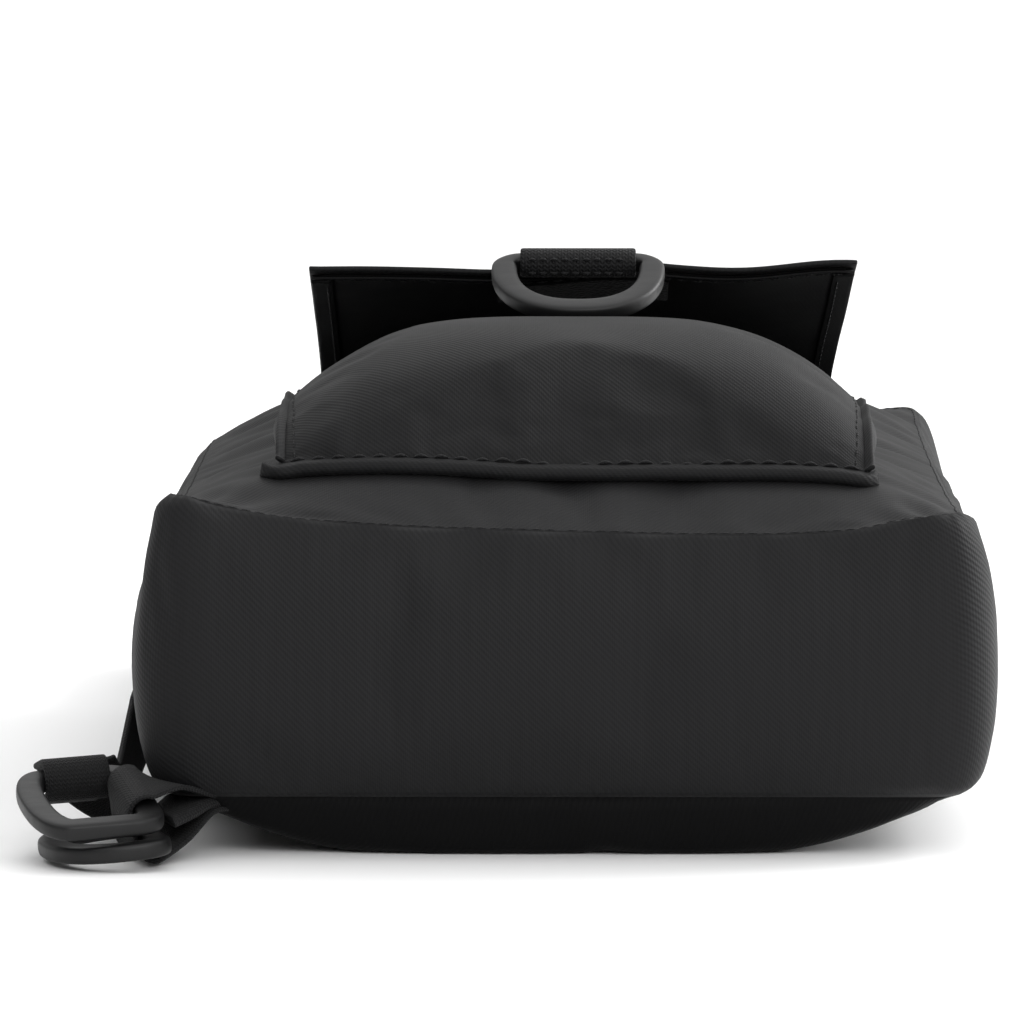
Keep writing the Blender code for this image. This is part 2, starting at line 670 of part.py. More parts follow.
def make_flap():
    def outer(u, v):
        return flap_point(u, v)

    def inner(u, v):
        return flap_point(u * FLAP_LINING_SHARE, (v + 1) * FLAP_LINING_SHARE - 1, -GAP)

    def patch(u, v):
        drop = 3 * GAP + FLAP_LINING_WALL
        place = HOOK_PATCH_V + v * HOOK_PATCH_HALF_V
        return flap_point(u, place, -drop, half=PATCH_HALF_X)

    sheet("flap_shell", 8, 10, outer, FLAP_WALL, TWILL, side=-1.0)
    sheet("flap_lining", 8, 10, inner, FLAP_LINING_WALL, LINING)
    sheet("flap_hook_tape", 4, 2, patch, HOOK_PATCH_THICK, TAPE)

    def anchor(u, v):
        x = FLAP_CENTRE_X + u * FLAP_HALF_WIDTH
        y = FLAP_HINGE_Y + SEAM_STRIP_OFFSET + v * SEAM_STRIP_HALF_Y
        return Vector((x, y, front_top(x, y) + GAP))

    sheet("flap_seam_strip", 8, 2, anchor, SEAM_STRIP_THICK, TWILL)
    make_flap_tab()
    down = Vector((0, -math.cos(FLAP_RING_SLOPE), -math.sin(FLAP_RING_SLOPE)))
    ring("flap_d_ring", FLAP_BAR, Vector((1, 0, 0)), down, RING_DEPTH, RING_CORNER)
    hinge("flap_pivot", Vector((FLAP_CENTRE_X, FLAP_HINGE_Y, FLAP_HINGE_Z)), FLAP_PIECES)
    hinge("flap_ring_pivot", FLAP_BAR, ["flap_d_ring"])


def make_flap_tab():
    """The webbing that holds the flap's ring: two layers sewn to the flap, open in a loop."""
    across = Vector((1, 0, 0))
    first = SLOPE_GROWTH * (FLAP_WALL + WEB_THICK) + GAP
    second = first + GAP
    stations = (0.15, 0.35, 0.55, 0.75, 0.93)    # along the flap, up to just short of its edge
    lower = [(flap_point(0, v, first), across) for v in stations]
    upper = [(flap_point(0, v, second), across) for v in reversed(stations)]
    lower.append((flap_point(0, 1.0, first), across))
    turn = arc_round(FLAP_BAR, Vector((0, 1, 0)), UP, -50, -300, LOOP_RADIUS, 10)
    loop = [(point, across) for point in turn]
    ribbon("flap_tab", lower + loop + upper, WEB_WIDTH / 2, WEB_THICK, WEBBING)


# ---------------------------------------------------------------- corner rings
RING_HEADING = math.radians(15)   # the rings point to -X, turned this much towards -Y
LOWER_SLOPE = math.radians(5.5)   # down from level, towards the arc
UPPER_SLOPE = math.radians(3)
UPPER_ROLL = math.radians(11)     # the upper ring's far leg is raised
LOWER_BAR = Vector((-91 * MM, -146 * MM, 4.9 * MM))
UPPER_BAR = Vector((-92.5 * MM, -145.4 * MM, 13.2 * MM))
LOWER_DEPTH = 20 * MM
UPPER_DEPTH = 22.5 * MM
UPPER_LEG = 17 * MM
TAB_ROOT = Vector((-81.2 * MM, -135.2 * MM, 11.2 * MM))
TAB_HALF = WEB_WIDTH / 2 - 1.5 * MM
TAB_GATHER = 0.68                 # the tab's width in the seam, as a share of its full width
TAB_ROOT_BELOW, TAB_ROOT_ABOVE = 1.0 * MM, 1.6 * MM    # where its two ends enter the seam
TAB_SAG, TAB_RISE = 2.6 * MM, 2.4 * MM    # how far its two layers bow apart on the way

OUTWARD = Vector((-math.cos(RING_HEADING), -math.sin(RING_HEADING), 0))
LOWER_ALONG = Vector((math.sin(RING_HEADING), -math.cos(RING_HEADING), 0))
UPPER_ALONG = turned(OUTWARD, -UPPER_ROLL, LOWER_ALONG)
LOWER_REACH = turned(LOWER_ALONG, LOWER_SLOPE, OUTWARD)
UPPER_REACH = turned(UPPER_ALONG, UPPER_SLOPE, OUTWARD)
LOWER_LIFT = LOWER_REACH.cross(LOWER_ALONG)
UPPER_LIFT = UPPER_REACH.cross(UPPER_ALONG)


def make_corner():
    """The webbing tab sewn into the bag's corner, and the two rings that hang in its fold."""
    root_across = Vector((1, -1, 0)).normalized() * TAB_GATHER
    half_way = (root_across.normalized() + LOWER_ALONG) / 2 * (1 + TAB_GATHER) / 2
    root_low = TAB_ROOT - UP * TAB_ROOT_BELOW
    root_high = TAB_ROOT + UP * TAB_ROOT_ABOVE
    path = [(root_low, root_across)]
    path.append(((root_low + LOWER_BAR) / 2 - UP * TAB_SAG, half_way))
    for point in arc_round(LOWER_BAR, OUTWARD, LOWER_LIFT, -95, 5, LOOP_RADIUS):
        path.append((point, LOWER_ALONG))
    for point in arc_round(UPPER_BAR, OUTWARD, UPPER_LIFT, -5, 110, LOOP_RADIUS):
        path.append((point, UPPER_ALONG))
    path.append(((root_high + UPPER_BAR) / 2 + UP * TAB_RISE, half_way))
    path.append((root_high, root_across))
    ribbon("corner_tab", path, TAB_HALF, WEB_THICK, WEBBING, columns=2)
    ring("corner_ring_lower", LOWER_BAR, LOWER_ALONG, LOWER_REACH, LOWER_DEPTH, RING_CORNER)
    ring("corner_ring_upper", UPPER_BAR, UPPER_ALONG, UPPER_REACH, UPPER_DEPTH, UPPER_LEG)
    hinge("corner_ring_lower_pivot", LOWER_BAR, ["corner_ring_lower"])


# ---------------------------------------------------------------- strap
STRAP_HALF = 11 * MM
STRAP_THICK = 1.4 * MM
STRAP_MID_Z = 16.2 * MM
STRAP_EDGE_Y = -104 * MM          # from here on the strap stands on its edge
STRAP_FULL_Y = -60 * MM           # from here on it has its full width
STRAP_GATHER = 0.5                # its width round the ring's leg, as a share of the full width
LOOP_ON_LEG = 10.5 * MM           # the loop's middle, measured along the ring from the bar
LOOP_TAIL = 13 * MM               # length of the tail sewn under the strap
ANCHOR_END_Y = 149.3 * MM
ANCHOR_MID_Z = 14.5 * MM
ADJUSTER_REST_Y = 40 * MM
ADJUSTER_HALF_Y = 11 * MM

BACKWARD = -UPPER_ALONG
LOOP_LEG = UPPER_BAR + BACKWARD * (RING_INSIDE / 2 + RING_BAND) + UPPER_REACH * LOOP_ON_LEG
TURN_CENTRE_X = STRAP_PLANE_X + STRAP_TURN_RADIUS
ADJUSTER_REST = Vector((STRAP_PLANE_X - STRAP_THICK / 2, ADJUSTER_REST_Y, STRAP_MID_Z))


def smooth(share):
    return share * share * (3 - 2 * share)


def turn_points(first, last, z, steps=7):
    """Points on the strap's turn behind the bag, between two angles from +X."""
    centre = Vector((TURN_CENTRE_X, STRAP_JOIN_Y, z))
    right, back = Vector((1, 0, 0)), Vector((0, 1, 0))
    return arc_round(centre, right, back, first, last, STRAP_TURN_RADIUS, steps)


def make_webbing():
    """The strap's webbing: gathered and folded round the upper ring's far leg, turning on to
    its edge, then along the bag's side and round behind it."""
    narrow = UPPER_REACH * STRAP_GATHER
    level = Vector((BACKWARD.x, BACKWARD.y, 0)).normalized()
    lift = UPPER_REACH.cross(-level).normalized()
    path = [(LOOP_LEG + level * LOOP_TAIL - lift * 2.2 * MM, narrow)]
    for point in arc_round(LOOP_LEG, level, lift, -65, -290, LOOP_RADIUS, 9):
        path.append((point, narrow))
    start = LOOP_LEG + level * 8 * MM + lift * 1.6 * MM
    end = Vector((STRAP_PLANE_X, STRAP_EDGE_Y, STRAP_MID_Z))
    steps = 10
    for i in range(steps + 1):
        share = smooth(i / steps)
        point = start.lerp(end, i / steps)
        point.x = start.x + (end.x - start.x) * share
        point.z = start.z + (end.z - start.z) * share
        path.append((point, UPPER_REACH.lerp(-UP, share).normalized() * STRAP_GATHER))
    widening = 4
    for i in range(1, widening + 1):
        y = STRAP_EDGE_Y + (STRAP_FULL_Y - STRAP_EDGE_Y) * i / widening
        width = STRAP_GATHER + (1 - STRAP_GATHER) * smooth(i / widening)
        path.append((Vector((STRAP_PLANE_X, y, STRAP_MID_Z)), -UP * width))
    for y in (0.0, 70 * MM, 140 * MM, STRAP_JOIN_Y):
        path.append((Vector((STRAP_PLANE_X, y, STRAP_MID_Z)), -UP))
    for point in turn_points(180, 97, STRAP_MID_Z):
        path.append((point, -UP))
    ribbon("strap_webbing", path, STRAP_HALF, STRAP_THICK, WEBBING, side=-1.0)


def make_pad():
    """The shoulder pad: from the webbing's end round to the top of the bag, turning flat."""
    width_mid = PAD_WIDTH / 2 + STRAP_LOW_Z
    path = [(point, UP) for point in turn_points(90, 5, width_mid)]
    last = path[-1][0]
    goal = Vector((0, ANCHOR_END_Y + 1.2 * MM, ANCHOR_MID_Z))
    steps = 8
    for i in range(1, steps + 1):
        share = smooth(i / steps)
        point = last.lerp(goal, i / steps)
        point.x = last.x + (goal.x - last.x) * share
        across = UP.lerp(Vector((-1, 0, 0)), share).normalized()
        lean = math.sqrt(1 - across.z**2)
        point.z = max(point.z, STRAP_LOW_Z + across.z * PAD_WIDTH / 2 + lean * PAD_THICK * 0.7)
        path.append((point, across))
    ribbon("shoulder_pad", path, PAD_WIDTH / 2, PAD_THICK, AIR_MESH, side=0.0, columns=2)


def make_adjuster():
    """A three-bar adjuster; the webbing passes through its sleeve and it slides along the strap."""
    clear, side, wall, bar = 0.5 * MM, 3 * MM, 1.2 * MM, 3.2 * MM
    inside = Vector((STRAP_THICK / 2 + clear, 2 * ADJUSTER_HALF_Y, STRAP_HALF + clear))
    outside = Vector((inside.x + wall, ADJUSTER_HALF_Y, inside.z + side))
    rest = ADJUSTER_REST
    body = box("strap_adjuster", rest - outside, rest + outside, PLASTIC, 0.5 * MM)
    sleeve = box("adjuster_sleeve", rest - inside, rest + inside, PLASTIC, collection=HELPERS)
    cut(body, sleeve)
    for i, first in enumerate((bar - ADJUSTER_HALF_Y, bar / 2)):
        last = first + ADJUSTER_HALF_Y - 1.5 * bar
        low = rest + Vector((-2 * outside.x, first, -inside.z))
        high = rest + Vector((2 * outside.x, last, inside.z))
        cut(body, box(f"adjuster_window_{i}", low, high, PLASTIC, collection=HELPERS))


def make_strap():
    make_webbing()
    make_adjuster()
    make_pad()
    half = PAD_WIDTH / 2
    low = (-half, HALF_LENGTH + 2.2 * MM, ANCHOR_MID_Z - 2 * MM)
    high = (half, ANCHOR_END_Y, ANCHOR_MID_Z + 2 * MM)
    box("strap_anchor", low, high, AIR_MESH, 0.8 * MM)
    hinge("corner_ring_upper_pivot", UPPER_BAR, ["corner_ring_upper"])
    hinge("strap_pivot", LOOP_LEG, ["strap_webbing"])
    hinge("strap_adjuster_rest", ADJUSTER_REST, ["strap_adjuster"])
    hinge("pad_pivot", Vector((0, ANCHOR_END_Y + 0.5 * MM, ANCHOR_MID_Z)), ["shoulder_pad"])


make_body()
make_zip()
make_pocket()
make_flap()
make_corner()
make_strap()
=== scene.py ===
"""Looks of the sling bag: stuffed twill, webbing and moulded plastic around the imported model.

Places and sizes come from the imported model's boxes and joints. The stuffed panels are built as
grids with cloth coordinates in metres, inflated by cloth simulation, then cut into their pieces.
"""

import json
import math

import bmesh
import bpy
import numpy as np
from mathutils import Matrix, Vector, noise
from mathutils.bvhtree import BVHTree

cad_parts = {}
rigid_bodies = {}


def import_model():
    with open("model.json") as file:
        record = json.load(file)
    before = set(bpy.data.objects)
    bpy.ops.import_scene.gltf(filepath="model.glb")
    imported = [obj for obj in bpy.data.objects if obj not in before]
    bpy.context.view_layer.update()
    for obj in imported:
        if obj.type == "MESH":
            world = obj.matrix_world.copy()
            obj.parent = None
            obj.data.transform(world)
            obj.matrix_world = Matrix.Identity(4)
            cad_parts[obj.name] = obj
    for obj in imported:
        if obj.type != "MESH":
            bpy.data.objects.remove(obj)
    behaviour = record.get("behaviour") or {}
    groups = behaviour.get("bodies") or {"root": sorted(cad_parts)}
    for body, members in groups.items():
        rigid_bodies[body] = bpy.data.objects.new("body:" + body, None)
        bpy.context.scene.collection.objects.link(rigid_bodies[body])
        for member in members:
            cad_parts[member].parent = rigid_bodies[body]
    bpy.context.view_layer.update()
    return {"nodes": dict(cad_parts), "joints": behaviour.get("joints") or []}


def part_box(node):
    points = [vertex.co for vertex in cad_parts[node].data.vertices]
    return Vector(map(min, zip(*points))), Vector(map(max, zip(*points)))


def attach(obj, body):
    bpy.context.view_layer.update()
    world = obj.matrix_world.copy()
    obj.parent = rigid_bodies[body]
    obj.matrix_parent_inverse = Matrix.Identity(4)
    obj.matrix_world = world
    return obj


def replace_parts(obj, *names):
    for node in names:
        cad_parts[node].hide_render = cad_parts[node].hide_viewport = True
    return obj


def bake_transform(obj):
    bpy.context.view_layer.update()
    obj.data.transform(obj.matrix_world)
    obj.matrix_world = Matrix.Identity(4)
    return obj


MM = 0.001
RIGHT, BACK, UP = Vector((1, 0, 0)), Vector((0, 1, 0)), Vector((0, 0, 1))

for startup_thing in list(bpy.data.objects):
    bpy.data.objects.remove(startup_thing)
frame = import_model()
JOINTS = {joint["name"]: joint for joint in frame["joints"]}


def joint_point(name):
    return Vector(JOINTS[name]["pos_m"])


def joint_axis(name):
    return Vector(JOINTS[name]["axis"]).normalized()


# ---------------------------------------------------------------- sizes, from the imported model
FRONT_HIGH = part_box("front_panel")[1]
GUSSET_LOW, GUSSET_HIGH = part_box("bottom_gusset")
HALF_X, HALF_Y = FRONT_HIGH.x, FRONT_HIGH.y
NEAR_CORNER, FAR_CORNER = 8 * MM, 14 * MM      # radius of the stuffed body's corners
BACK_SEAM = GUSSET_LOW.z
FRONT_SEAM = GUSSET_HIGH.z
BULGE = GUSSET_HIGH.x - HALF_X + 1.4 * MM      # the stuffed cloth stands a little proud
CROWN = FRONT_HIGH.z - FRONT_SEAM
CELL = 4 * MM                     # the body grid's spacing
BODY_CLOTH, POCKET_CLOTH, FLAP_CLOTH = 1.4 * MM, 1.2 * MM, 1.1 * MM

ZIP_LOW, ZIP_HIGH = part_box("main_zip_tape")
POCKET_LOW, POCKET_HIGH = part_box("pocket_front")
POCKET_X = (POCKET_LOW.x + POCKET_HIGH.x) / 2
POCKET_HALF = (POCKET_HIGH.x - POCKET_LOW.x) / 2
POCKET_CREST = POCKET_LOW.y + 50 * MM
FLAP_LOW, FLAP_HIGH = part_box("flap_shell")
FLAP_HINGE = joint_point("flap_fold")
FLAP_HALF = (FLAP_HIGH.x - FLAP_LOW.x) / 2
FLAP_LENGTH = FLAP_HINGE.y        # from the hinge to the free edge, which lies at y = 0
FLAP_RISE = FLAP_HIGH.z - FLAP_HINGE.z


# ---------------------------------------------------------------- node materials
class Nodes:
    """A small helper that adds and links shader nodes."""

    def __init__(self, name):
        self.material = bpy.data.materials.new(name)
        self.material.use_nodes = True
        self.tree = self.material.node_tree
        self.shader = self.tree.nodes["Principled BSDF"]

    def put(self, kind, inputs=(), **settings):
        node = self.tree.nodes.new(kind)
        for key, value in settings.items():
            setattr(node, key, value)
        for key, value in dict(inputs).items():
            self.feed(node.inputs[key], value)
        return node

    def feed(self, socket, value):
        if isinstance(value, bpy.types.NodeSocket):
            self.tree.links.new(value, socket)
        else:
            socket.default_value = value

    def math(self, operation, a, b=0.0):
        node = self.put("ShaderNodeMath", operation=operation)
        for socket, value in zip(node.inputs, (a, b)):
            self.feed(socket, value)
        return node.outputs[0]

    def add(self, a, b):
        return self.math("ADD", a, b)

    def times(self, a, b):
        return self.math("MULTIPLY", a, b)

    def wave(self, value, period):
        """A sine from -1 to 1 with this period."""
        return self.math("SINE", self.times(value, 2 * math.pi / period))

    def mix(self, factor, low, high):
        """Between two colours."""
        node = self.put("ShaderNodeMix", data_type="RGBA")
        self.feed(node.inputs["Factor"], factor)
        self.feed(node.inputs["A"], low)
        self.feed(node.inputs["B"], high)
        return node.outputs["Result"]

    def cloth_uv(self):
        """The two cloth coordinates, in millimetres."""
        uv = self.put("ShaderNodeUVMap", uv_map="cloth")
        split = self.put("ShaderNodeSeparateXYZ", {"Vector": uv.outputs["UV"]})
        across = self.times(split.outputs["X"], 1000.0)
        along = self.times(split.outputs["Y"], 1000.0)
        return across, along

    def place(self, x=1.0, y=1.0, z=1.0):
        """Object coordinates in metres, stretched."""
        where = self.put("ShaderNodeTexCoord").outputs["Object"]
        scaled = self.put("ShaderNodeVectorMath", operation="MULTIPLY")
        self.feed(scaled.inputs[0], where)
        self.feed(scaled.inputs[1], (x, y, z))
        return scaled.outputs[0]

    def noise(self, vector, scale, detail=2.0, roughness=0.5):
        inputs = {"Vector": vector, "Scale": scale, "Detail": detail, "Roughness": roughness}
        return self.put("ShaderNodeTexNoise", inputs).outputs["Fac"]

    def bump(self, height, distance, strength=1.0, under=None):
        inputs = {"Height": height, "Distance": distance, "Strength": strength}
        made = self.put("ShaderNodeBump", inputs)
        if under is not None:
            self.feed(made.inputs["Normal"], under)
        return made.outputs["Normal"]

    def finish(self, colour, roughness, normal=None, sheen=0.0, metallic=0.0, specular=0.5):
        values = {
            "Base Color": colour,
            "Roughness": roughness,
            "Metallic": metallic,
            "Specular IOR Level": specular,
            "Sheen Weight": sheen,
            "Sheen Roughness": 0.45,
        }
        for key, value in values.items():
            self.feed(self.shader.inputs[key], value)
        if normal is not None:
            self.feed(self.shader.inputs["Normal"], normal)
        return self.material


def grey(value, blue=1.06):
    return (value, value, value * blue, 1.0)


DIAGONAL = 1.414                  # spacing of 45 degree ribs along the cloth, per rib period


def twill(name, dark, light, period=0.95, sheen=0.02, lean=1.0, specular=0.13):
    """Fine twill: diagonal ribs crossed by yarns, faint streaks along the warp, soft mottling."""
    made = Nodes(name)
    across, along = made.cloth_uv()
    diagonal = made.add(made.times(across, lean), along)
    rib = made.wave(diagonal, DIAGONAL * period)
    yarn = made.wave(across, 0.5 * period)
    weave = made.add(made.times(rib, 0.36), made.add(made.times(yarn, 0.14), 0.5))
    uv = made.put("ShaderNodeCombineXYZ", {"X": across, "Y": made.times(along, 0.03)})
    streak = made.noise(uv.outputs[0], 0.75, 2.0)
    mottle = made.noise(made.place(), 38.0, 3.0)
    shade = made.add(made.times(weave, 0.35), made.times(streak, 0.35))
    shade = made.add(shade, made.times(mottle, 0.3))
    colour = made.mix(shade, grey(dark), grey(light))
    crease = made.noise(made.place(), 26.0, 4.0, 0.55)
    soft = made.bump(crease, 0.9 * MM, 0.35)
    normal = made.bump(weave, 0.12 * MM, 0.5, under=soft)
    roughness = made.add(0.52, made.times(mottle, 0.16))
    return made.finish(colour, roughness, normal, sheen, specular=specular)


WEB_PERIOD = 0.7                  # in millimetres


def webbing(name, dark, light):
    """Woven tape: ribs along it, crossed by picks that run in a chevron."""
    made = Nodes(name)
    across, along = made.cloth_uv()
    chevron = made.math("PINGPONG", across, WEB_PERIOD)
    picks = made.add(along, made.times(chevron, 0.6))
    pick = made.wave(picks, WEB_PERIOD)
    rib = made.wave(across, WEB_PERIOD)
    weave = made.add(made.times(pick, 0.28), made.add(made.times(rib, 0.2), 0.5))
    fuzz = made.noise(made.place(), 900.0, 3.0)
    shade = made.add(made.times(weave, 0.6), made.times(fuzz, 0.4))
    colour = made.mix(shade, grey(dark), grey(light))
    normal = made.bump(weave, 0.3 * MM, 0.8)
    normal = made.bump(fuzz, 0.05 * MM, 0.5, under=normal)
    roughness = made.add(0.62, made.times(fuzz, 0.2))
    return made.finish(colour, roughness, normal, 0.03, specular=0.2)


def plastic(name, dark, light, roughness=0.36):
    """Moulded plastic: a fine spark-eroded grain, faint handling marks and sharp edges painted lighter in
    patches, a painted highlight.
    """
    made = Nodes(name)
    grain = made.noise(made.place(), 2600.0, 3.0, 0.6)
    marks = made.noise(made.place(1, 6, 1), 90.0, 4.0, 0.65)
    # Sharp convex edges, found by pointiness, are painted lighter where the handling marks are: a painted
    # edge highlight.
    edges = made.put("ShaderNodeNewGeometry").outputs["Pointiness"]
    edge_highlight = made.put("ShaderNodeMapRange", {"Value": edges, "From Min": 0.52, "From Max": 0.6})
    edge_highlight = made.times(edge_highlight.outputs[0], marks)
    colour = made.mix(made.add(made.times(grain, 0.3), edge_highlight), grey(dark), grey(light))
    rough = made.add(roughness, made.times(marks, 0.18))
    return made.finish(colour, rough, made.bump(grain, 0.03 * MM, 0.35), specular=0.33)


def metal(name, value):
    """Blackened zip metal, rubbed brighter in places."""
    made = Nodes(name)
    wear = made.noise(made.place(), 420.0, 4.0, 0.6)
    colour = made.mix(wear, grey(value), grey(value * 2.6))
    rough = made.add(0.26, made.times(wear, 0.25))
    return made.finish(colour, rough, made.bump(wear, 0.02 * MM, 0.4), metallic=0.9)


def spacer_mesh(name, dark, light):
    """Air mesh: rows of small hexagonal holes, padded between, the holes painted darker as painted shade."""
    made = Nodes(name)
    across, along = made.cloth_uv()
    uv = made.put("ShaderNodeCombineXYZ", {"X": across, "Y": along})
    settings = {"Vector": uv.outputs[0], "Scale": 0.42, "Randomness": 0.08}
    cells = made.put("ShaderNodeTexVoronoi", settings).outputs["Distance"]
    edges = {"Value": cells, "From Min": 0.16, "From Max": 0.36}
    hole = made.put("ShaderNodeMapRange", edges).outputs[0]
    fuzz = made.noise(made.place(), 1400.0, 2.0)
    # The holes are painted darker than the padding between them: painted shade inside the holes.
    shade = made.times(hole, made.add(0.6, made.times(fuzz, 0.4)))
    colour = made.mix(shade, grey(dark), grey(light))
    normal = made.bump(hole, 0.5 * MM, 0.8)
    return made.finish(colour, 0.85, normal, 0.3, specular=0.25)


def pile(name, dark, light):
    """Hook or loop tape: a dense field of tiny bristles, painted lighter at their tips and darker between
    them as painted highlight and shade.
    """
    made = Nodes(name)
    bristle = made.put("ShaderNodeTexVoronoi", {"Vector": made.place(), "Scale": 1100.0})
    tips = bristle.outputs["Distance"]
    normal = made.bump(tips, 0.4 * MM, 0.9)
    # Lighter at each bristle tip, darker in the gaps between: painted highlight and painted shade.
    return made.finish(made.mix(tips, grey(light), grey(dark)), 0.9, normal, 0.03, specular=0.08)


def studio_floor():
    made = Nodes("studio_floor")
    tone = made.noise(made.place(), 3.0, 2.0)
    colour = made.mix(tone, (0.93, 0.93, 0.93, 1), (0.96, 0.96, 0.96, 1))
    return made.finish(colour, 0.7, specular=0.2)


TWILL = twill("twill_face", 0.005, 0.013)
TWILL_FRONT = twill("twill_front", 0.005, 0.012, lean=-1.0)
TWILL_POCKET = twill("twill_pocket", 0.004, 0.01)
# The back border is the same black twill, painted about 2.5 times darker and less shiny: painted shade for
# the back's bulge, which lies low beside the floor.
TWILL_BACK_SHADED = twill("twill_back_painted_shade", 0.002, 0.004, specular=0.06)
LINING = twill("lining_cloth", 0.002, 0.005, period=0.6, sheen=0.0, specular=0.1)
WEB = webbing("webbing_black", 0.003, 0.012)
TAPE = webbing("zip_tape_black", 0.003, 0.008)
PLASTIC = plastic("moulded_black", 0.003, 0.012)
METAL = metal("blackened_metal", 0.05)
MESH_CLOTH = spacer_mesh("air_mesh_black", 0.004, 0.024)
PILE = pile("hook_and_loop_black", 0.001, 0.006)
THREAD = webbing("thread_black", 0.004, 0.014)


# ---------------------------------------------------------------- mesh helpers
def link(name, mesh, material, body, *stands_for):
    """Links a mesh as a piece that rides on a body and stands for CAD nodes."""
    made = bpy.data.objects.new(name, mesh)
    bpy.context.scene.collection.objects.link(made)
    if material is not None:
        mesh.materials.clear()
        mesh.materials.append(material)
    if body:
        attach(made, body)
    if stands_for:
        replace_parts(made, *stands_for)
    return made


def build(name, points, faces, uvs):
    """A mesh with one cloth coordinate, in metres, per corner of each face."""
    mesh = bpy.data.meshes.new(name)
    mesh.from_pydata([tuple(p) for p in points], [], faces)
    layer = mesh.uv_layers.new(name="cloth")
    for polygon, corners in zip(mesh.polygons, uvs):
        for loop, uv in zip(polygon.loop_indices, corners):
            layer.data[loop].uv = uv
    mesh.shade_smooth()
    return mesh


def sheet(name, columns, rows, place):
    """A grid. place(s, t), with s and t in 0..1, gives a point and its cloth coordinate."""
    placed = [place(i / columns, j / rows) for j in range(rows + 1) for i in range(columns + 1)]
    faces = []
    for j in range(rows):
        for i in range(columns):
            a = j * (columns + 1) + i
            faces.append((a, a + 1, a + columns + 2, a + columns + 1))
    uvs = [[placed[k][1] for k in face] for face in faces]
    return build(name, [p for p, _ in placed], faces, uvs)


def modifier(obj, kind, **settings):
    made = obj.modifiers.new(kind.lower(), kind)
    for key, value in settings.items():
        setattr(made, key, value)
    return made


def subdivide(obj):
    modifier(obj, "SUBSURF", levels=1, render_levels=1)


def thicken(obj, thickness, offset=-1.0, rounding=0.0):
    modifier(obj, "SOLIDIFY", thickness=thickness, offset=offset)
    if rounding:
        modifier(obj, "BEVEL", width=rounding, segments=2, angle_limit=math.radians(50))
    return obj


def turned_out(mesh):
    """Turns a closed mesh's faces outwards."""
    fixed = bmesh.new()
    fixed.from_mesh(mesh)
    bmesh.ops.recalc_face_normals(fixed, faces=fixed.faces[:])
    fixed.to_mesh(mesh)
    fixed.free()
    return mesh


def spread(first, last, steps):
    """Even steps from first to last, both included."""
    return [first + (last - first) * k / steps for k in range(steps + 1)]


def distances(points):
    """How far along a line each of its points lies."""
    found = [0.0]
    for before, after in zip(points, points[1:]):
        found.append(found[-1] + (after - before).length)
    return found


def applied(obj):
    """The object's mesh with its modifiers applied."""
    bpy.context.view_layer.update()
    graph = bpy.context.evaluated_depsgraph_get()
    mesh = bpy.data.meshes.new_from_object(obj.evaluated_get(graph))
    obj.modifiers.clear()
    obj.data = mesh
    return mesh


def smooth_path(path, step):
    """Evenly spaced (centre, across) pairs on a curve through the given ones."""
    fine = []
    for i in range(len(path) - 1):
        before, first = path[max(i - 1, 0)], path[i]
        last, after = path[i + 1], path[min(i + 2, len(path) - 1)]
        pieces = max(1, round((last[0] - first[0]).length / step))
        for k in range(pieces):
            t = k / pieces
            weights = (
                (-t + 2 * t * t - t**3) / 2,
                (2 - 5 * t * t + 3 * t**3) / 2,
                (t + 4 * t * t - 3 * t**3) / 2,
                (t**3 - t * t) / 2,
            )
            four = (before, first, last, after)
            centre = sum((p[0] * w for p, w in zip(four, weights)), Vector())
            across = sum((p[1] * w for p, w in zip(four, weights)), Vector())
            fine.append((centre, across))
    fine.append(path[-1])
    return fine


def strip_section(half_width, thickness, edge):
    """A strip's cross section: two flat faces and two round edges, each of edge segments."""
    radius = thickness / 2
    flat = half_width - radius
    half = [(a, radius) for a in spread(-flat, flat, 6)]
    for k in range(1, edge):
        angle = math.pi / 2 - math.pi * k / edge
        half.append((flat + radius * math.cos(angle), radius * math.sin(angle)))
    return half + [(-a, -b) for a, b in half]


def strip(name, path, half_width, thickness, material, body, *stands_for, step=1.5 * MM, offset=0.0, edge=4):
    """Webbing or a folded cloth edge: a flat rounded section swept along a path of (centre, across),
    where a longer across makes it wider. offset moves it along its normal, in thicknesses."""
    fine = smooth_path(path, step)
    section = strip_section(half_width, thickness, edge)
    girth = distances([Vector(corner) for corner in section + section[:1]])
    run = distances([centre for centre, _ in fine])
    points, faces, uvs = [], [], []
    for i, (centre, across) in enumerate(fine):
        before, after = fine[max(i - 1, 0)][0], fine[min(i + 1, len(fine) - 1)][0]
        width = across.length
        side = across.normalized()
        normal = (after - before).cross(side).normalized()
        middle = centre + normal * offset * thickness
        for a, b in section:
            points.append(middle + side * (a * width) + normal * b)
    count = len(section)
    for i in range(len(fine) - 1):
        for k in range(count):
            a, b = i * count + k, i * count + (k + 1) % count
            faces.append((a, a + count, b + count, b))
            u0, u1 = girth[k], girth[k + 1]
            uvs.append([(u0, run[i]), (u0, run[i + 1]), (u1, run[i + 1]), (u1, run[i])])
    for start, order in ((0, range(count)), ((len(fine) - 1) * count, reversed(range(count)))):
        faces.append(tuple(start + k for k in order))
        uvs.append(section)
    mesh = turned_out(build(name, points, faces, uvs))
    return link(name, mesh, material, body, *stands_for)


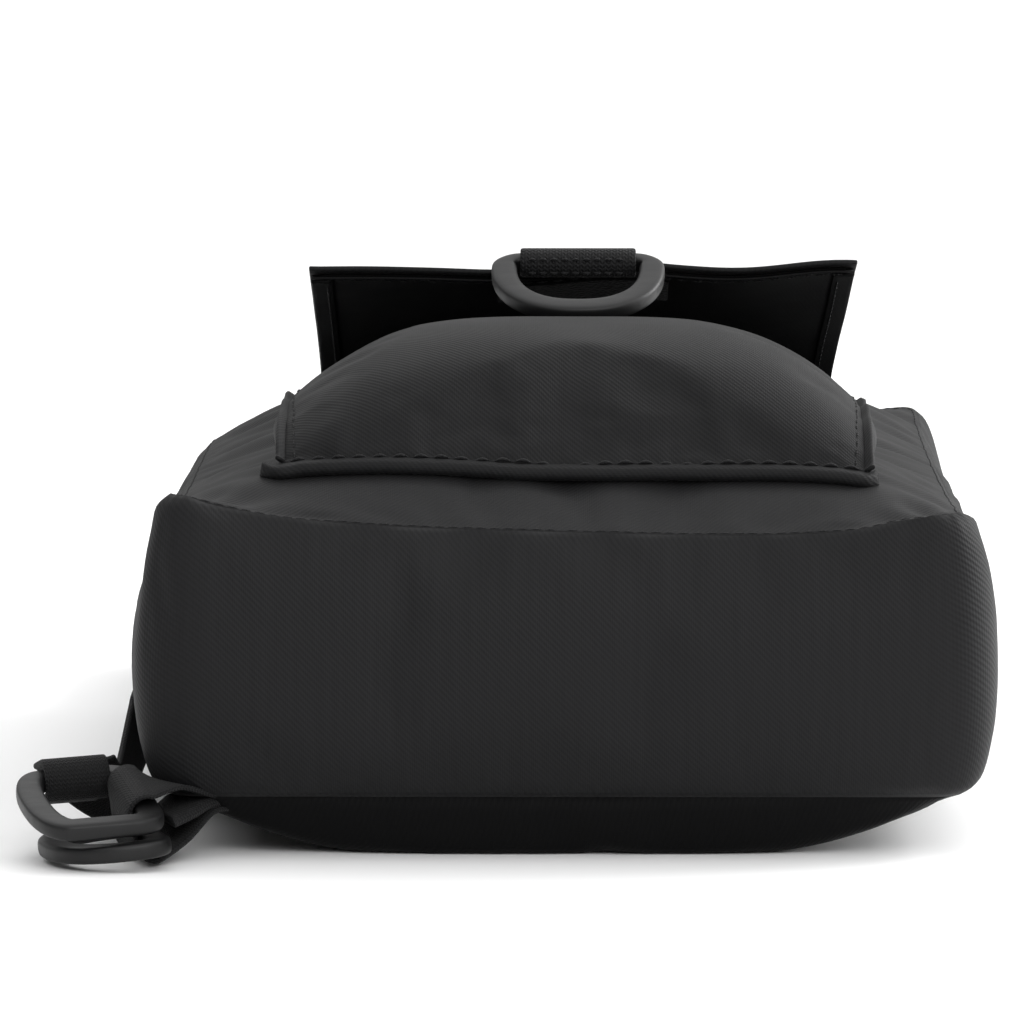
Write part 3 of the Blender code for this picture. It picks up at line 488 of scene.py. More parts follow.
def stitches(name, path, body, length=2.6 * MM, space=1.0 * MM, width=0.24 * MM, lift=0.1 * MM):
    """A row of thread stitches along (point, outward normal) pairs, each dipping at its ends."""
    fine = smooth_path(path, 0.5 * MM)
    run = distances([point for point, _ in fine])

    def at(distance):
        i = min(max(np.searchsorted(run, distance), 1), len(run) - 1)
        share = (distance - run[i - 1]) / max(run[i] - run[i - 1], 1e-9)
        a, b = fine[i - 1], fine[i]
        return a[0].lerp(b[0], share), a[1].lerp(b[1], share).normalized()

    points, faces, uvs = [], [], []
    rings, corners = 5, 6
    for n in range(int(run[-1] / (length + space))):
        start = n * (length + space) + space / 2
        base = len(points)
        for r in range(rings):
            share = r / (rings - 1)
            centre, out = at(start + share * length)
            ahead, _ = at(start + share * length + 0.2 * MM)
            side = out.cross((ahead - centre).normalized()).normalized()
            size = width * (0.35 + 0.65 * math.sin(math.pi * share))
            middle = centre + out * (lift * math.sin(math.pi * share))
            for k in range(corners):
                angle = 2 * math.pi * k / corners
                points.append(middle + side * (size * math.cos(angle)) + out * (size * math.sin(angle)))
        for r in range(rings - 1):
            for k in range(corners):
                a, b = base + r * corners + k, base + r * corners + (k + 1) % corners
                faces.append((a, b, b + corners, a + corners))
                v = start + r * MM / 2
                uvs.append([(0, v), (0.3 * MM, v), (0.3 * MM, v + MM / 2), (0, v + MM / 2)])
    return link(name, build(name, points, faces, uvs), THREAD, body)


def refined(node, name, material, body, voxel, rounds=3):
    """A moulded piece made from a copy of a CAD node: remeshed finely, its edges softened."""
    source = frame["nodes"][node]
    made = link(name, source.data.copy(), material, None)
    modifier(made, "REMESH", mode="VOXEL", voxel_size=voxel, use_smooth_shade=True)
    modifier(made, "SMOOTH", factor=0.5, iterations=rounds)
    mesh = applied(made)
    mesh.materials.clear()
    mesh.materials.append(material)
    mesh.shade_smooth()
    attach(made, body)
    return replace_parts(made, node)


# ---------------------------------------------------------------- cloth simulation
def simulate(obj, weights, pressure, growth, cap, frames=20):
    """Inflates obj by cloth simulation. weights holds each point's pinning, 0 free to 1 fixed;
    growth is the share the cloth is larger than its pattern, which is what wrinkles it.
    No point moves further than cap."""
    rest = np.array([v.co for v in obj.data.vertices])
    group = obj.vertex_groups.new(name="pins")
    for index, weight in enumerate(weights):
        if weight > 0:
            group.add([index], weight, "REPLACE")
    cloth = obj.modifiers.new("inflate", "CLOTH")
    settings = cloth.settings
    settings.quality = 6
    settings.mass = 0.2
    settings.tension_stiffness = 12
    settings.compression_stiffness = 10
    settings.shear_stiffness = 4
    settings.bending_stiffness = 0.15
    settings.use_pressure = True
    settings.uniform_pressure_force = pressure
    settings.shrink_min = -growth
    settings.vertex_group_mass = "pins"
    settings.effector_weights.gravity = 0
    cloth.collision_settings.use_collision = False
    for number in range(1, frames + 1):
        bpy.context.scene.frame_set(number)
    graph = bpy.context.evaluated_depsgraph_get()
    swollen = np.array([v.co for v in obj.evaluated_get(graph).data.vertices])
    obj.modifiers.remove(cloth)
    bpy.context.scene.frame_set(1)
    moved = swollen - rest
    length = np.linalg.norm(moved, axis=1, keepdims=True)
    moved *= np.minimum(1.0, cap / np.maximum(length, 1e-9))
    obj.data.vertices.foreach_set("co", (rest + moved).ravel())
    obj.data.update()
    print(f"{obj.name}: moved {length.max() * 1000:.1f} mm at most, {length.mean() * 1000:.2f} on average")


def smooth(share):
    """Eases a share, held to 0..1, in and out."""
    share = min(1.0, max(0.0, share))
    return share * share * (3 - 2 * share)


def surface_tree(obj):
    """A search tree over a piece as its modifiers leave it, to lay other pieces on it."""
    bpy.context.view_layer.update()
    return BVHTree.FromObject(obj, bpy.context.evaluated_depsgraph_get())


def height_at(tree, x, y):
    """Height of a surface straight under a point above the bag."""
    hit = tree.ray_cast(Vector((x, y, 0.5)), -UP)[0]
    return hit.z


def laid(tree, points):
    """(point on the surface, outward normal) for each point near it."""
    found = []
    for point in points:
        place, normal = tree.find_nearest(point)[:2]
        found.append((place, normal))
    return found


# ---------------------------------------------------------------- body
# The grid's rows, in millimetres: in from a panel's edge, and up the side wall from the back seam.
SEAM_ROWS = (0.0, 1.5, 3.0, 4.5, 7.0, 10.5)
GUSSET_ROWS = (0, 1.5, 3, 6, 10, 14.5, 19.3, 24.1, 28.8, 33.5, 38, 42.5, 47, 51, 54.6, 56.1, 57.6)
SLOT_FIRST, SLOT_LAST = 7, 9                    # the zip's slot lies between these rows
CREST_LIFT, RIGHT_LIFT, LEFT_SAG = 7 * MM, 6 * MM, -6 * MM
NEAR_TILT = 2.2 * MM              # the near seam's left end is this much higher, its right lower
BACK_DEPTH = 15.5 * MM
PLEAT, WRINKLE_STEP = 0.8 * MM, 19 * MM         # depth of the wrinkles, and from one to the next
FRONT_PANEL, SIDE_WALL, BACK_BORDER, BACK_PAD = range(4)


def stops(half):
    """Grid lines from -1 to 1, close together beside both edges."""
    edge = [1 - d * MM / half for d in SEAM_ROWS]
    inner = round(2 * edge[-1] * half / CELL)
    middle = [edge[-1] * (2 * i / inner - 1) for i in range(1, inner)]
    return [-e for e in edge] + middle + edge[::-1]


STOPS_X, STOPS_Y = stops(HALF_X), stops(HALF_Y)


def rounded(u, v):
    """Maps the square -1..1 to the body's outline and what is inside it."""
    level = max(abs(u), abs(v))
    if level < 1e-6:
        return 0.0, 0.0
    x, y = u / level * HALF_X, v / level * HALF_Y
    radius = NEAR_CORNER if v < 0 else FAR_CORNER
    core_x, core_y = HALF_X - radius, HALF_Y - radius
    if abs(x) > core_x and abs(y) > core_y:
        over = Vector((abs(x) - core_x, abs(y) - core_y)).normalized() * radius
        x = math.copysign(core_x + over.x, x)
        y = math.copysign(core_y + over.y, y)
    return x * level, y * level


def seam_height(x, y):
    """The front seam: pulled up at the near corners and the far right one, sagging far left."""
    strength = (abs(x) / HALF_X) ** 4 * (abs(y) / HALF_Y) ** 4
    lift = CREST_LIFT if y < 0 else (RIGHT_LIFT if x > 0 else LEFT_SAG)
    tilt = -NEAR_TILT * x / HALF_X * max(0.0, -y / HALF_Y) ** 4
    return FRONT_SEAM + lift * strength + tilt


def softness(point, size, strength, seed=0.0):
    """Slow uneven swelling, the same on every run."""
    return strength * noise.noise(point / size + Vector((seed, 0, 0)))


def panel_place(s, t):
    """(u, v, x, y) of a grid point of the front or the back panel."""
    u, v = STOPS_X[round(s * (len(STOPS_X) - 1))], STOPS_Y[round(t * (len(STOPS_Y) - 1))]
    return u, v, *rounded(u, v)


def front_place(s, t):
    u, v, x, y = panel_place(s, t)
    crown = (1 - abs(u) ** 5) * (1 - abs(v) ** 6)
    z = seam_height(x, y) + CROWN * crown
    z += crown * softness(Vector((x, y, 0)), 45 * MM, 0.5 * MM)
    return Vector((x, y, z)), (x, y)


def back_place(s, t):
    u, v, x, y = panel_place(s, t)
    drop = (1 - abs(u) ** 2.6) * (1 - abs(v) ** 60)
    return Vector((x, y, max(0.0, BACK_SEAM - BACK_DEPTH * drop))), (x, y)


def body_outline():
    """(point, outward direction, distance) round the body, from the middle of the bottom."""
    half = len(STOPS_X) // 2
    square = [(u, -1.0) for u in STOPS_X[half:]]
    square += [(1.0, v) for v in STOPS_Y[1:]]
    square += [(u, 1.0) for u in reversed(STOPS_X[:-1])]
    square += [(-1.0, v) for v in reversed(STOPS_Y[:-1])]
    square += [(u, -1.0) for u in STOPS_X[1 : half + 1]]
    points = [Vector((*rounded(u, v), 0)) for u, v in square]
    found = []
    for i, run in enumerate(distances(points)):
        before = points[i - 1] if i else points[-2]
        after = points[i + 1] if i + 1 < len(points) else points[1]
        found.append((points[i], (after - before).cross(UP).normalized(), run))
    return found


OUTLINE = body_outline()


def side_place(s, t):
    """The side wall, round the body and from the back seam to the front one."""
    point, out, run = OUTLINE[round(s * (len(OUTLINE) - 1))]
    share = GUSSET_ROWS[round(t * (len(GUSSET_ROWS) - 1))] / GUSSET_ROWS[-1]
    z = BACK_SEAM + share * (seam_height(point.x, point.y) - BACK_SEAM)
    full = math.sin(math.pi * share**0.85) ** 0.45
    lean = softness(Vector((point.x, point.y, z)), 40 * MM, 1.0 * MM, 7.0)
    place = point + out * (BULGE * full + lean * full) + UP * z
    return place, (run, z)


def stuffed_body():
    """Front panel, side wall and back panel joined as one closed bag, inflated and wrinkled."""
    panels = (
        sheet("front", len(STOPS_X) - 1, len(STOPS_Y) - 1, front_place),
        sheet("side", len(OUTLINE) - 1, len(GUSSET_ROWS) - 1, side_place),
        sheet("back", len(STOPS_X) - 1, len(STOPS_Y) - 1, back_place),
    )
    whole = bmesh.new()
    for number, panel in enumerate(panels):
        first = len(whole.faces)
        whole.from_mesh(panel)
        whole.faces.ensure_lookup_table()
        for face in whole.faces[first:]:
            face.material_index = number
    bmesh.ops.remove_doubles(whole, verts=whole.verts[:], dist=0.05 * MM)
    bmesh.ops.recalc_face_normals(whole, faces=whole.faces[:])
    mesh = bpy.data.meshes.new("stuffed_body")
    whole.to_mesh(mesh)
    weights = []
    for vert in whole.verts:
        kinds = {face.material_index for face in vert.link_faces}
        weights.append(1.0 if len(kinds) > 1 else 0.0)
    whole.free()
    body = link("stuffed_body", mesh, None, None)
    simulate(body, weights, pressure=1.5, growth=0.009, cap=3.0 * MM)
    wrinkle(mesh)
    for vert in mesh.vertices:
        vert.co.z = max(vert.co.z, 0.0)
    return body


def make_body():
    """Cuts the stuffed body into its pieces and returns each one's search tree."""
    body = stuffed_body()
    parts = (
        ("bag_front_panel", TWILL_FRONT, ("front_panel",)),
        ("bag_side_wall", TWILL, ("bottom_gusset", "gusset_back_strip", "gusset_front_strip")),
        # the back border gets the twill painted darker, as painted shade
        ("bag_back_border", TWILL_BACK_SHADED, ("back_panel",)),
        ("bag_back_pad", MESH_CLOTH, ("back_panel",)),
    )
    for face in body.data.polygons:
        if face.material_index == BACK_BORDER and back_pad_holds(face.center):
            face.material_index = BACK_PAD
    trees = [cut_out(body.data, number, *part) for number, part in enumerate(parts)]
    bpy.data.objects.remove(body)
    return trees


def wrinkle(mesh):
    """Pleats fanning out from the near corners, and cross wrinkles beside the pocket."""
    mesh.update()
    moves = []
    for vert in mesh.vertices:
        x, y, z = vert.co
        move = 0.0
        if z > FRONT_SEAM:
            for side in (-1, 1):
                across, along = HALF_X - side * x, y + HALF_Y
                reach = math.hypot(across, along)
                fade = math.exp(-(((reach - 13 * MM) / (9 * MM)) ** 2))
                move += PLEAT * fade * math.sin(11 * math.atan2(along, across) + side)
            beside = smooth((abs(x - POCKET_X) - POCKET_HALF + 4 * MM) / (10 * MM))
            wave = math.sin(2 * math.pi * y / WRINKLE_STEP + 0.05 * x / MM + 2 * noise.noise(vert.co * 30))
            move += PLEAT * 0.6 * beside * wave * smooth((HALF_X - abs(x)) / (8 * MM))
        moves.append(vert.normal * move)
    for vert, move in zip(mesh.vertices, moves):
        vert.co += move


def back_pad_holds(point):
    """Whether a point of the back panel lies in its air-mesh pad rather than its border."""
    return abs(point.x) < 0.72 * HALF_X and abs(point.y) < 0.8 * HALF_Y


def in_zip_slot(face, layer):
    """Whether a face of the side wall lies in the slot left open for the zip."""
    middle = face.calc_center_median()
    if middle.y <= ZIP_LOW.y:
        return False
    low, high = (BACK_SEAM + GUSSET_ROWS[i] * MM for i in (SLOT_FIRST, SLOT_LAST))
    z = sum(loop[layer].uv.y for loop in face.loops) / len(face.loops)
    share = (z - BACK_SEAM) / (seam_height(middle.x, middle.y) - BACK_SEAM)
    return low < BACK_SEAM + share * GUSSET_ROWS[-1] * MM < high


def cut_out(whole, number, name, material, nodes):
    """One panel of the inflated body as its own piece; returns its search tree."""
    part = bmesh.new()
    part.from_mesh(whole)
    layer = part.loops.layers.uv["cloth"]
    gone = []
    for face in part.faces:
        if face.material_index != number or (number == SIDE_WALL and in_zip_slot(face, layer)):
            gone.append(face)
        face.material_index = 0
    bmesh.ops.delete(part, geom=gone, context="FACES")
    mesh = bpy.data.meshes.new(name)
    part.to_mesh(mesh)
    part.free()
    mesh.shade_smooth()
    made = link(name, mesh, material, "bag", *nodes)
    subdivide(made)
    tree = surface_tree(made)
    thicken(made, BODY_CLOTH)
    return tree


FRONT_TREE = make_body()[FRONT_PANEL]


def panel_stitches():
    """Topstitching on the front panel, close beside its seam."""
    inset = 0.9 * MM
    points = []
    for point, out, _ in OUTLINE:
        inner = point - out * inset
        points.append(inner + UP * seam_height(inner.x, inner.y))
    stitches("front_seam_stitches", laid(FRONT_TREE, points), "bag", 2.2 * MM, 0.8 * MM, lift=0.0)


# ---------------------------------------------------------------- main zip
TOOTH = (0.5 * MM, 2.0 * MM, 2.3 * MM)    # along the zip, outwards and across it


def zip_path(inset):
    """(point, outward) along the middle of the slot, from its left end round to its right."""
    middle = (ZIP_LOW.z + ZIP_HIGH.z) / 2
    start = next(i for i, (p, _, _) in enumerate(OUTLINE) if p.x > 0 and p.y > ZIP_LOW.y)
    end = len(OUTLINE) - 1 - start
    lift = BULGE - inset
    return [(p + out * lift + UP * middle, out) for p, out, _ in OUTLINE[start : end + 1]]


def make_zip():
    tape_path = [(point, UP) for point, _ in zip_path(3.0 * MM)]
    half = (ZIP_HIGH.z - ZIP_LOW.z) / 2
    strip("zip_tape", tape_path, half, 0.8 * MM, TAPE, "bag", "main_zip_tape", step=4 * MM)
    coil_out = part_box("main_zip_coil")[1].y - HALF_Y
    chain = smooth_path(zip_path(BULGE - coil_out + 1.2 * MM), 0.65 * MM)
    teeth = bmesh.new()
    for i, (point, out) in enumerate(chain[4:-4]):
        ahead = UP.cross(out).normalized()
        turn = Matrix((ahead, out, UP)).transposed().to_4x4()
        side = 0.55 * MM if i % 2 else -0.55 * MM
        size = Matrix.Diagonal((*TOOTH, 1.0))
        place = Matrix.Translation(point + UP * side) @ turn @ size
        bmesh.ops.create_cube(teeth, size=1.0, matrix=place)
    mesh = bpy.data.meshes.new("zip_teeth")
    teeth.to_mesh(mesh)
    teeth.free()
    made = link("zip_teeth", mesh, PLASTIC, "bag", "main_zip_coil")
    modifier(made, "BEVEL", width=0.12 * MM, segments=1)
    fine = {"voxel": 0.3 * MM, "rounds": 2}
    for side in ("left", "right"):
        refined("zip_slider_" + side, "slider_body_" + side, METAL, "slider_" + side, **fine)
        refined("zip_pull_" + side, "pull_body_" + side, PLASTIC, "pull_" + side, **fine)


# ---------------------------------------------------------------- front pocket
HEM_LOW, HEM_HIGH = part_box("pocket_hem")
MOUTH_Y = POCKET_HIGH.y
POCKET_TOP = POCKET_HIGH.z - FRONT_HIGH.z - 4.4 * MM
WALL_COLUMNS, FACE_COLUMNS, POCKET_ROWS = 6, 60, 72
POCKET_COLUMNS = 2 * WALL_COLUMNS + FACE_COLUMNS
RIDGE_COLUMNS = (WALL_COLUMNS, POCKET_COLUMNS - WALL_COLUMNS)
SIDE_SWELL = 3.0 * MM             # how far the stuffed side walls stand out
PUCKER = 4.5 * MM                 # from one stitch and pucker of the hem to the next
EDGE_RISE = 2.6 * MM              # the pocket's cloth starts this high, behind the hem's fold
HEM_THICK = 3.2 * MM
FOLD_INSET = 12 * MM              # a soft upright fold of the pocket, from its left edge


def pocket_height(x, y):
    """The pocket's height over the front panel: a rounded near end, falling to the mouth."""
    across = min(1.0, abs(x - POCKET_X) / POCKET_HALF)
    arch = 1 - 0.5 * across**3.4
    if y < POCKET_CREST:
        share = max(0.0, 1 - (POCKET_CREST - y) / (POCKET_CREST - POCKET_LOW.y))
        return POCKET_TOP * math.sqrt(max(0.0, 1 - (1 - share) ** 2)) * arch
    run = (y - POCKET_CREST) / (MOUTH_Y - POCKET_CREST)
    fall = 0.5 + 0.5 * math.cos(math.pi * min(1.0, run))
    return (4 * MM + (POCKET_TOP - 4 * MM) * fall) * arch


def pocket_y(t):
    """Rows close together where the pocket rises, even along the rest."""
    shoulder = 0.5
    if t < shoulder:
        return POCKET_CREST - (POCKET_CREST - POCKET_LOW.y) * math.cos(t / shoulder * math.pi / 2)
    return POCKET_CREST + (MOUTH_Y - POCKET_CREST) * (t - shoulder) / (1 - shoulder)


def pocket_section(t):
    """Points across the pocket at one row: up the left wall, over the face, down the right."""
    y = pocket_y(t)
    found = []
    for side in (-1, 1):
        edge = POCKET_X + side * POCKET_HALF
        base = height_at(FRONT_TREE, edge, y) + 0.4 * MM
        rise = max(EDGE_RISE, pocket_height(edge, y))
        wall = []
        for k in range(WALL_COLUMNS):
            share = k / WALL_COLUMNS
            swell = SIDE_SWELL * math.sin(math.pi * share) * min(1.0, rise / (10 * MM))
            wall.append(Vector((edge + side * swell, y, base + rise * share)))
        found.append(wall)
    face = []
    for k in range(FACE_COLUMNS + 1):
        x = POCKET_X + POCKET_HALF * (2 * k / FACE_COLUMNS - 1)
        base = height_at(FRONT_TREE, x, y) + 0.4 * MM
        face.append(Vector((x, y, base + max(EDGE_RISE, pocket_height(x, y)))))
    return found[0] + face + found[1][::-1]


def pocket_pin(column, row):
    """How firmly the simulation holds a point: the edges fully, the hem and the ridges partly."""
    if column in (0, POCKET_COLUMNS) or row in (0, 1, POCKET_ROWS):
        return 1.0
    if row == 2:
        return 0.7
    return 0.6 if column in RIDGE_COLUMNS else 0.0


def make_pocket():
    """The bellows pocket: face and side walls inflated in one, seam ridges, hem and stitches."""
    rows = [pocket_section(j / POCKET_ROWS) for j in range(POCKET_ROWS + 1)]
    along = distances([row[POCKET_COLUMNS // 2] for row in rows])
    cells = [(i, j) for j in range(POCKET_ROWS + 1) for i in range(POCKET_COLUMNS + 1)]

    def place(s, t):
        i, j = round(s * POCKET_COLUMNS), round(t * POCKET_ROWS)
        return rows[j][i], (i * 2.1 * MM, along[j])

    mesh = sheet("pocket_cloth", POCKET_COLUMNS, POCKET_ROWS, place)
    made = link("pocket_cloth", mesh, TWILL_POCKET, None)
    weights = [pocket_pin(column, row) for column, row in cells]
    simulate(made, weights, pressure=1.2, growth=0.006, cap=2.0 * MM)
    fold_pocket(mesh, [along[row] for _, row in cells])
    simulated = [vert.co.copy() for vert in mesh.vertices]
    subdivide(made)
    tree = surface_tree(made)
    thicken(made, POCKET_CLOTH)
    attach(made, "bag")
    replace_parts(made, "pocket_front", "pocket_side_left", "pocket_side_right")
    for side, sign, column in zip(("left", "right"), (-1, 1), RIDGE_COLUMNS):
        make_ridge(side, sign, simulated[column :: POCKET_COLUMNS + 1][::2], tree)
    make_hem(tree)
    make_mouth(tree)
    return tree


def fold_pocket(mesh, heights):
    """Puckers above the hem and one upright fold; heights is how far up the cloth each point is."""
    for vert, height in zip(mesh.vertices, heights):
        near = math.exp(-height / (4 * MM))
        wave = math.sin(2 * math.pi * vert.co.x / PUCKER + noise.noise(vert.co * 60))
        vert.co.y += near * 0.35 * MM * wave
        off = (vert.co.x - POCKET_X + POCKET_HALF - FOLD_INSET) / (1.8 * MM)
        low = height / (9 * MM)
        vert.co.y -= 1.3 * MM * math.exp(-off * off) * low * math.exp(1 - low)


def make_ridge(side, sign, edge, tree):
    """The seam ridge where the pocket's face meets a side wall, and the stitches beside it."""
    lean = Vector((sign * 0.8, -0.25, 0.55)).normalized()
    ridge = []
    for point in edge:
        wobble = 0.5 * MM * noise.noise(point * 90)
        ridge.append((point + lean * (0.5 * MM + wobble), lean))
    strip(f"pocket_seam_{side}", ridge, 1.3 * MM, 1.0 * MM, TWILL_POCKET, "bag", step=2 * MM)
    inner = [p - RIGHT * (sign * 2.6 * MM) for p in edge[1:]]
    stitches(f"pocket_side_stitches_{side}", laid(tree, inner), "bag")


def make_hem(tree):
    """The folded hem that sews the pocket's near end down, and its stitches."""
    y = (HEM_LOW.y + HEM_HIGH.y) / 2
    path = []
    left, right = HEM_LOW.x - 2.5 * MM, HEM_HIGH.x
    for x in spread(left, right, 90):
        wave = math.sin(2 * math.pi * x / PUCKER) * 0.1 + noise.noise(Vector((x * 35, 0, 0))) * 0.5
        end = smooth((abs(x - POCKET_X) - POCKET_HALF + 5 * MM) / (6 * MM))
        tip = max(0.0, 1 - min(x - left, right - x) / (5 * MM))
        level = sum(height_at(FRONT_TREE, x + side * 6 * MM, y) for side in range(-2, 3)) / 5
        z = level + HEM_THICK / 2 + (0.1 - 0.3 * end + 0.4 * wave + 1.2 * tip**2) * MM
        size = (1 + 0.08 * wave + 0.12 * end) * (1 - 0.45 * tip**2)
        place = Vector((x, y + (0.3 * wave + 2.5 * tip**2) * MM, z))
        path.append((place, Vector((0, -1, -0.12)).normalized() * size))
    fold = ("pocket_hem_fold", path, 2.7 * MM, HEM_THICK, TWILL_POCKET, "bag", "pocket_hem")
    strip(*fold, step=1 * MM, edge=8)
    points = []
    reach = POCKET_HALF - 1 * MM
    for x in spread(POCKET_X - reach, POCKET_X + reach, 80):
        z = height_at(FRONT_TREE, x, y) + HEM_THICK + 0.7 * MM
        points.append(Vector((x, POCKET_LOW.y - 1 * MM, z)))
    row, space = laid(tree, points), 1.2 * MM
    stitch = {"length": PUCKER - space, "space": space, "width": 0.4 * MM, "lift": 0.45 * MM}
    stitches("pocket_hem_stitches", row, "bag", **stitch)


def make_mouth(tree):
    """Tape binding along the pocket's mouth."""
    path = []
    reach = POCKET_HALF - 1.5 * MM
    for x in spread(POCKET_X - reach, POCKET_X + reach, 30):
        place = tree.find_nearest(Vector((x, MOUTH_Y, POCKET_LOW.z + 8 * MM)))[0]
        path.append((Vector((x, MOUTH_Y + 1.2 * MM, place.z - 0.2 * MM)), BACK))
    strip("pocket_mouth_tape", path, 2.6 * MM, 2.4 * MM, TAPE, "bag", "pocket_mouth_binding", step=3 * MM)


# ---------------------------------------------------------------- flap
FLAP_NARROW = 3 * MM              # narrower at the hinge than at the free edge, on the right
FLAP_LIFT = 1.4 * MM              # the free edge's middle and right end curl up this much
FLAP_CLOTH_LENGTH = 105 * MM      # along the flap's slope
HEM_WIDTH = 5 * MM
HEM_CLOTH, LINING_CLOTH = 0.6 * MM, 0.6 * MM
UNDER_FLAP = 2.1 * MM             # the turned-in hem's middle, down from the outer cloth


def flap_place(u, share, drop=0.0):
    """u in -1..1 across, share 0 at the hinge to 1 at the free edge; drop is down along Z."""
    x = FLAP_HINGE.x + u * FLAP_HALF
    x -= FLAP_NARROW * (1 - share) * max(u, 0.0)
    y = FLAP_LENGTH * (1 - share)
    curl = FLAP_LIFT * share**3 * (0.6 + 0.5 * u + 0.35 * u * u)
    ripple = 0.7 * MM * share * share * math.sin(7 * u + 0.8) * (1 - abs(u) ** 6)
    z = FLAP_HINGE.z + FLAP_RISE * share**0.85 + curl + ripple
    z += share * softness(Vector((x, y, 0)), 28 * MM, 0.8 * MM, 3.0)
    return Vector((x, y, z - drop))


def flap_sheet(name, material, drop, thickness, inset, *nodes):
    """A layer of the flap, inset from its three free edges."""
    wide, long = 1 - inset / FLAP_HALF, 1 - inset / FLAP_LENGTH

    def place(s, t):
        u, share = (2 * s - 1) * wide, t * long
        point = flap_place(u, share, drop)
        return point, (u * FLAP_HALF, share * FLAP_CLOTH_LENGTH)

    made = link(name, sheet(name, 48, 36, place), material, "flap", *nodes)
    return thicken(made, thickness, offset=1.0 if flipped(made.data) else -1.0, rounding=0.35 * MM)


def flipped(mesh):
    """Whether a nearly level sheet's normals point down."""
    return sum(polygon.normal.z for polygon in mesh.polygons) < 0


def flap_row(first, last, steps, drop, across):
    """(point, across) along a line on the flap; first and last are (u, share)."""
    places = zip(spread(first[0], last[0], steps), spread(first[1], last[1], steps))
    return [(flap_place(u, share, drop), across) for u, share in places]


def flap_hem(name, first, last, steps, across):
    """One side of the flap's turned-in hem."""
    path = flap_row(first, last, steps, UNDER_FLAP, across)
    strip(name, path, HEM_WIDTH / 2, HEM_CLOTH, LINING, "flap", step=3 * MM)


def make_flap():
    """Outer cloth, lining, hem turned in on three sides, and a row of stitches on each face."""
    flap_sheet("flap_cloth", TWILL_FRONT, 0.0, FLAP_CLOTH, 0.0, "flap_shell")
    lining_drop = FLAP_CLOTH + 0.15 * MM
    flap_sheet("flap_lining_cloth", LINING, lining_drop, LINING_CLOTH, 2.5 * MM, "flap_lining")
    wide, long = HEM_WIDTH / FLAP_HALF, HEM_WIDTH / FLAP_LENGTH
    hem_stitch, stitch_drop = HEM_WIDTH - 1 * MM, UNDER_FLAP + 0.35 * MM
    flap_hem("flap_hem_front", (-0.99, 1 - long / 2), (0.99, 1 - long / 2), 24, -BACK)
    for side, sign in (("left", -1), ("right", 1)):
        u = sign * (0.995 - wide / 2)
        flap_hem(f"flap_hem_{side}", (u, 0.03), (u, 0.995 - long), 20, RIGHT)
        u = sign * (1 - 2.6 * MM / FLAP_HALF)
        stitches(f"flap_stitches_{side}", flap_row((u, 0.04), (u, 0.96), 40, 0.0, UP), "flap")
        u = sign * (1 - hem_stitch / FLAP_HALF)
        row = flap_row((u, 0.04), (u, 0.97 - long), 40, stitch_drop, -UP)
        stitches(f"flap_hem_stitches_{side}", row, "flap")
    row = flap_row((-0.96, 0.974), (0.96, 0.974), 50, 0.0, UP)
    stitches("flap_stitches_front", row, "flap")
    inner = 1 - hem_stitch / FLAP_LENGTH
    row = flap_row((-0.97, inner), (0.97, inner), 50, stitch_drop, -UP)
    stitches("flap_hem_stitches_front", row, "flap")
    make_flap_hinge()
    make_flap_tab()
    bar = joint_point("flap_ring_turn") + RIGHT * RING_SHIFT
    down = -BACK * math.cos(RING_HANG) - UP * math.sin(RING_HANG)
    hanging = (bar, RIGHT, down, 24 * MM, RING_CORNER)
    make_ring("flap_ring_body", "flap_d_ring", *hanging, "flap_ring", bar_half=RING_BAR)


def make_patches(pocket_tree):
    """The loop patch on the pocket and the hook patch under the flap."""

    def patch(name, node, body, surface):
        low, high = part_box(node)

        def place(s, t):
            x, y = low.x + (high.x - low.x) * s, low.y + (high.y - low.y) * t
            return surface(x, y), (x, y)

        made = link(name, sheet(name, 24, 10, place), PILE, body, node)
        thicken(made, 1.0 * MM, rounding=0.3 * MM)

    def on_pocket(x, y):
        return Vector((x, y, height_at(pocket_tree, x, y) + 0.8 * MM))

    def under_flap(x, y):
        return flap_place((x - FLAP_HINGE.x) / FLAP_HALF, 1 - y / FLAP_HINGE.y, 1.9 * MM)

    patch("pocket_loop_patch", "pocket_loop_tape", "bag", on_pocket)
    patch("flap_hook_patch", "flap_hook_tape", "flap", under_flap)


def make_flap_hinge():
    """The cloth that carries the flap: sewn to the front panel, bending at the hinge line."""
    low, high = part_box("flap_seam_strip")
    line = FLAP_HINGE.y

    def place(s, t):
        u = 2 * s - 1
        x = FLAP_HINGE.x + u * (FLAP_HALF - 1.0 * MM) - FLAP_NARROW * max(u, 0.0)
        y = high.y + (line - 7 * MM - high.y) * t
        lying = height_at(FRONT_TREE, x, y) + 1.0 * MM
        if y < line:
            standing = flap_place(u, (line - y) / line, 0.3 * MM)
            return Vector((min(x, standing.x), y, standing.z)), (x, y)
        bridge = min(1.0, (y - line) / (9 * MM))
        z = FLAP_HINGE.z + (lying - FLAP_HINGE.z) * bridge
        return Vector((x, y, z)), (x, y)

    made = link("flap_hinge_cloth", sheet("flap_hinge_cloth", 40, 16, place), TWILL_FRONT, None)
    thicken(made, 1.5 * MM, offset=0.0, rounding=0.3 * MM)
    applied(made)
    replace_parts(made, "flap_seam_strip")
    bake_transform(made)
    points = []
    y, reach = high.y - 2.5 * MM, FLAP_HALF - 4 * MM
    for x in spread(FLAP_HINGE.x - reach, FLAP_HINGE.x + reach, 40):
        points.append((Vector((x, y, height_at(FRONT_TREE, x, y) + 1.85 * MM)), UP))
    stitches("flap_seam_stitches", points, "bag")


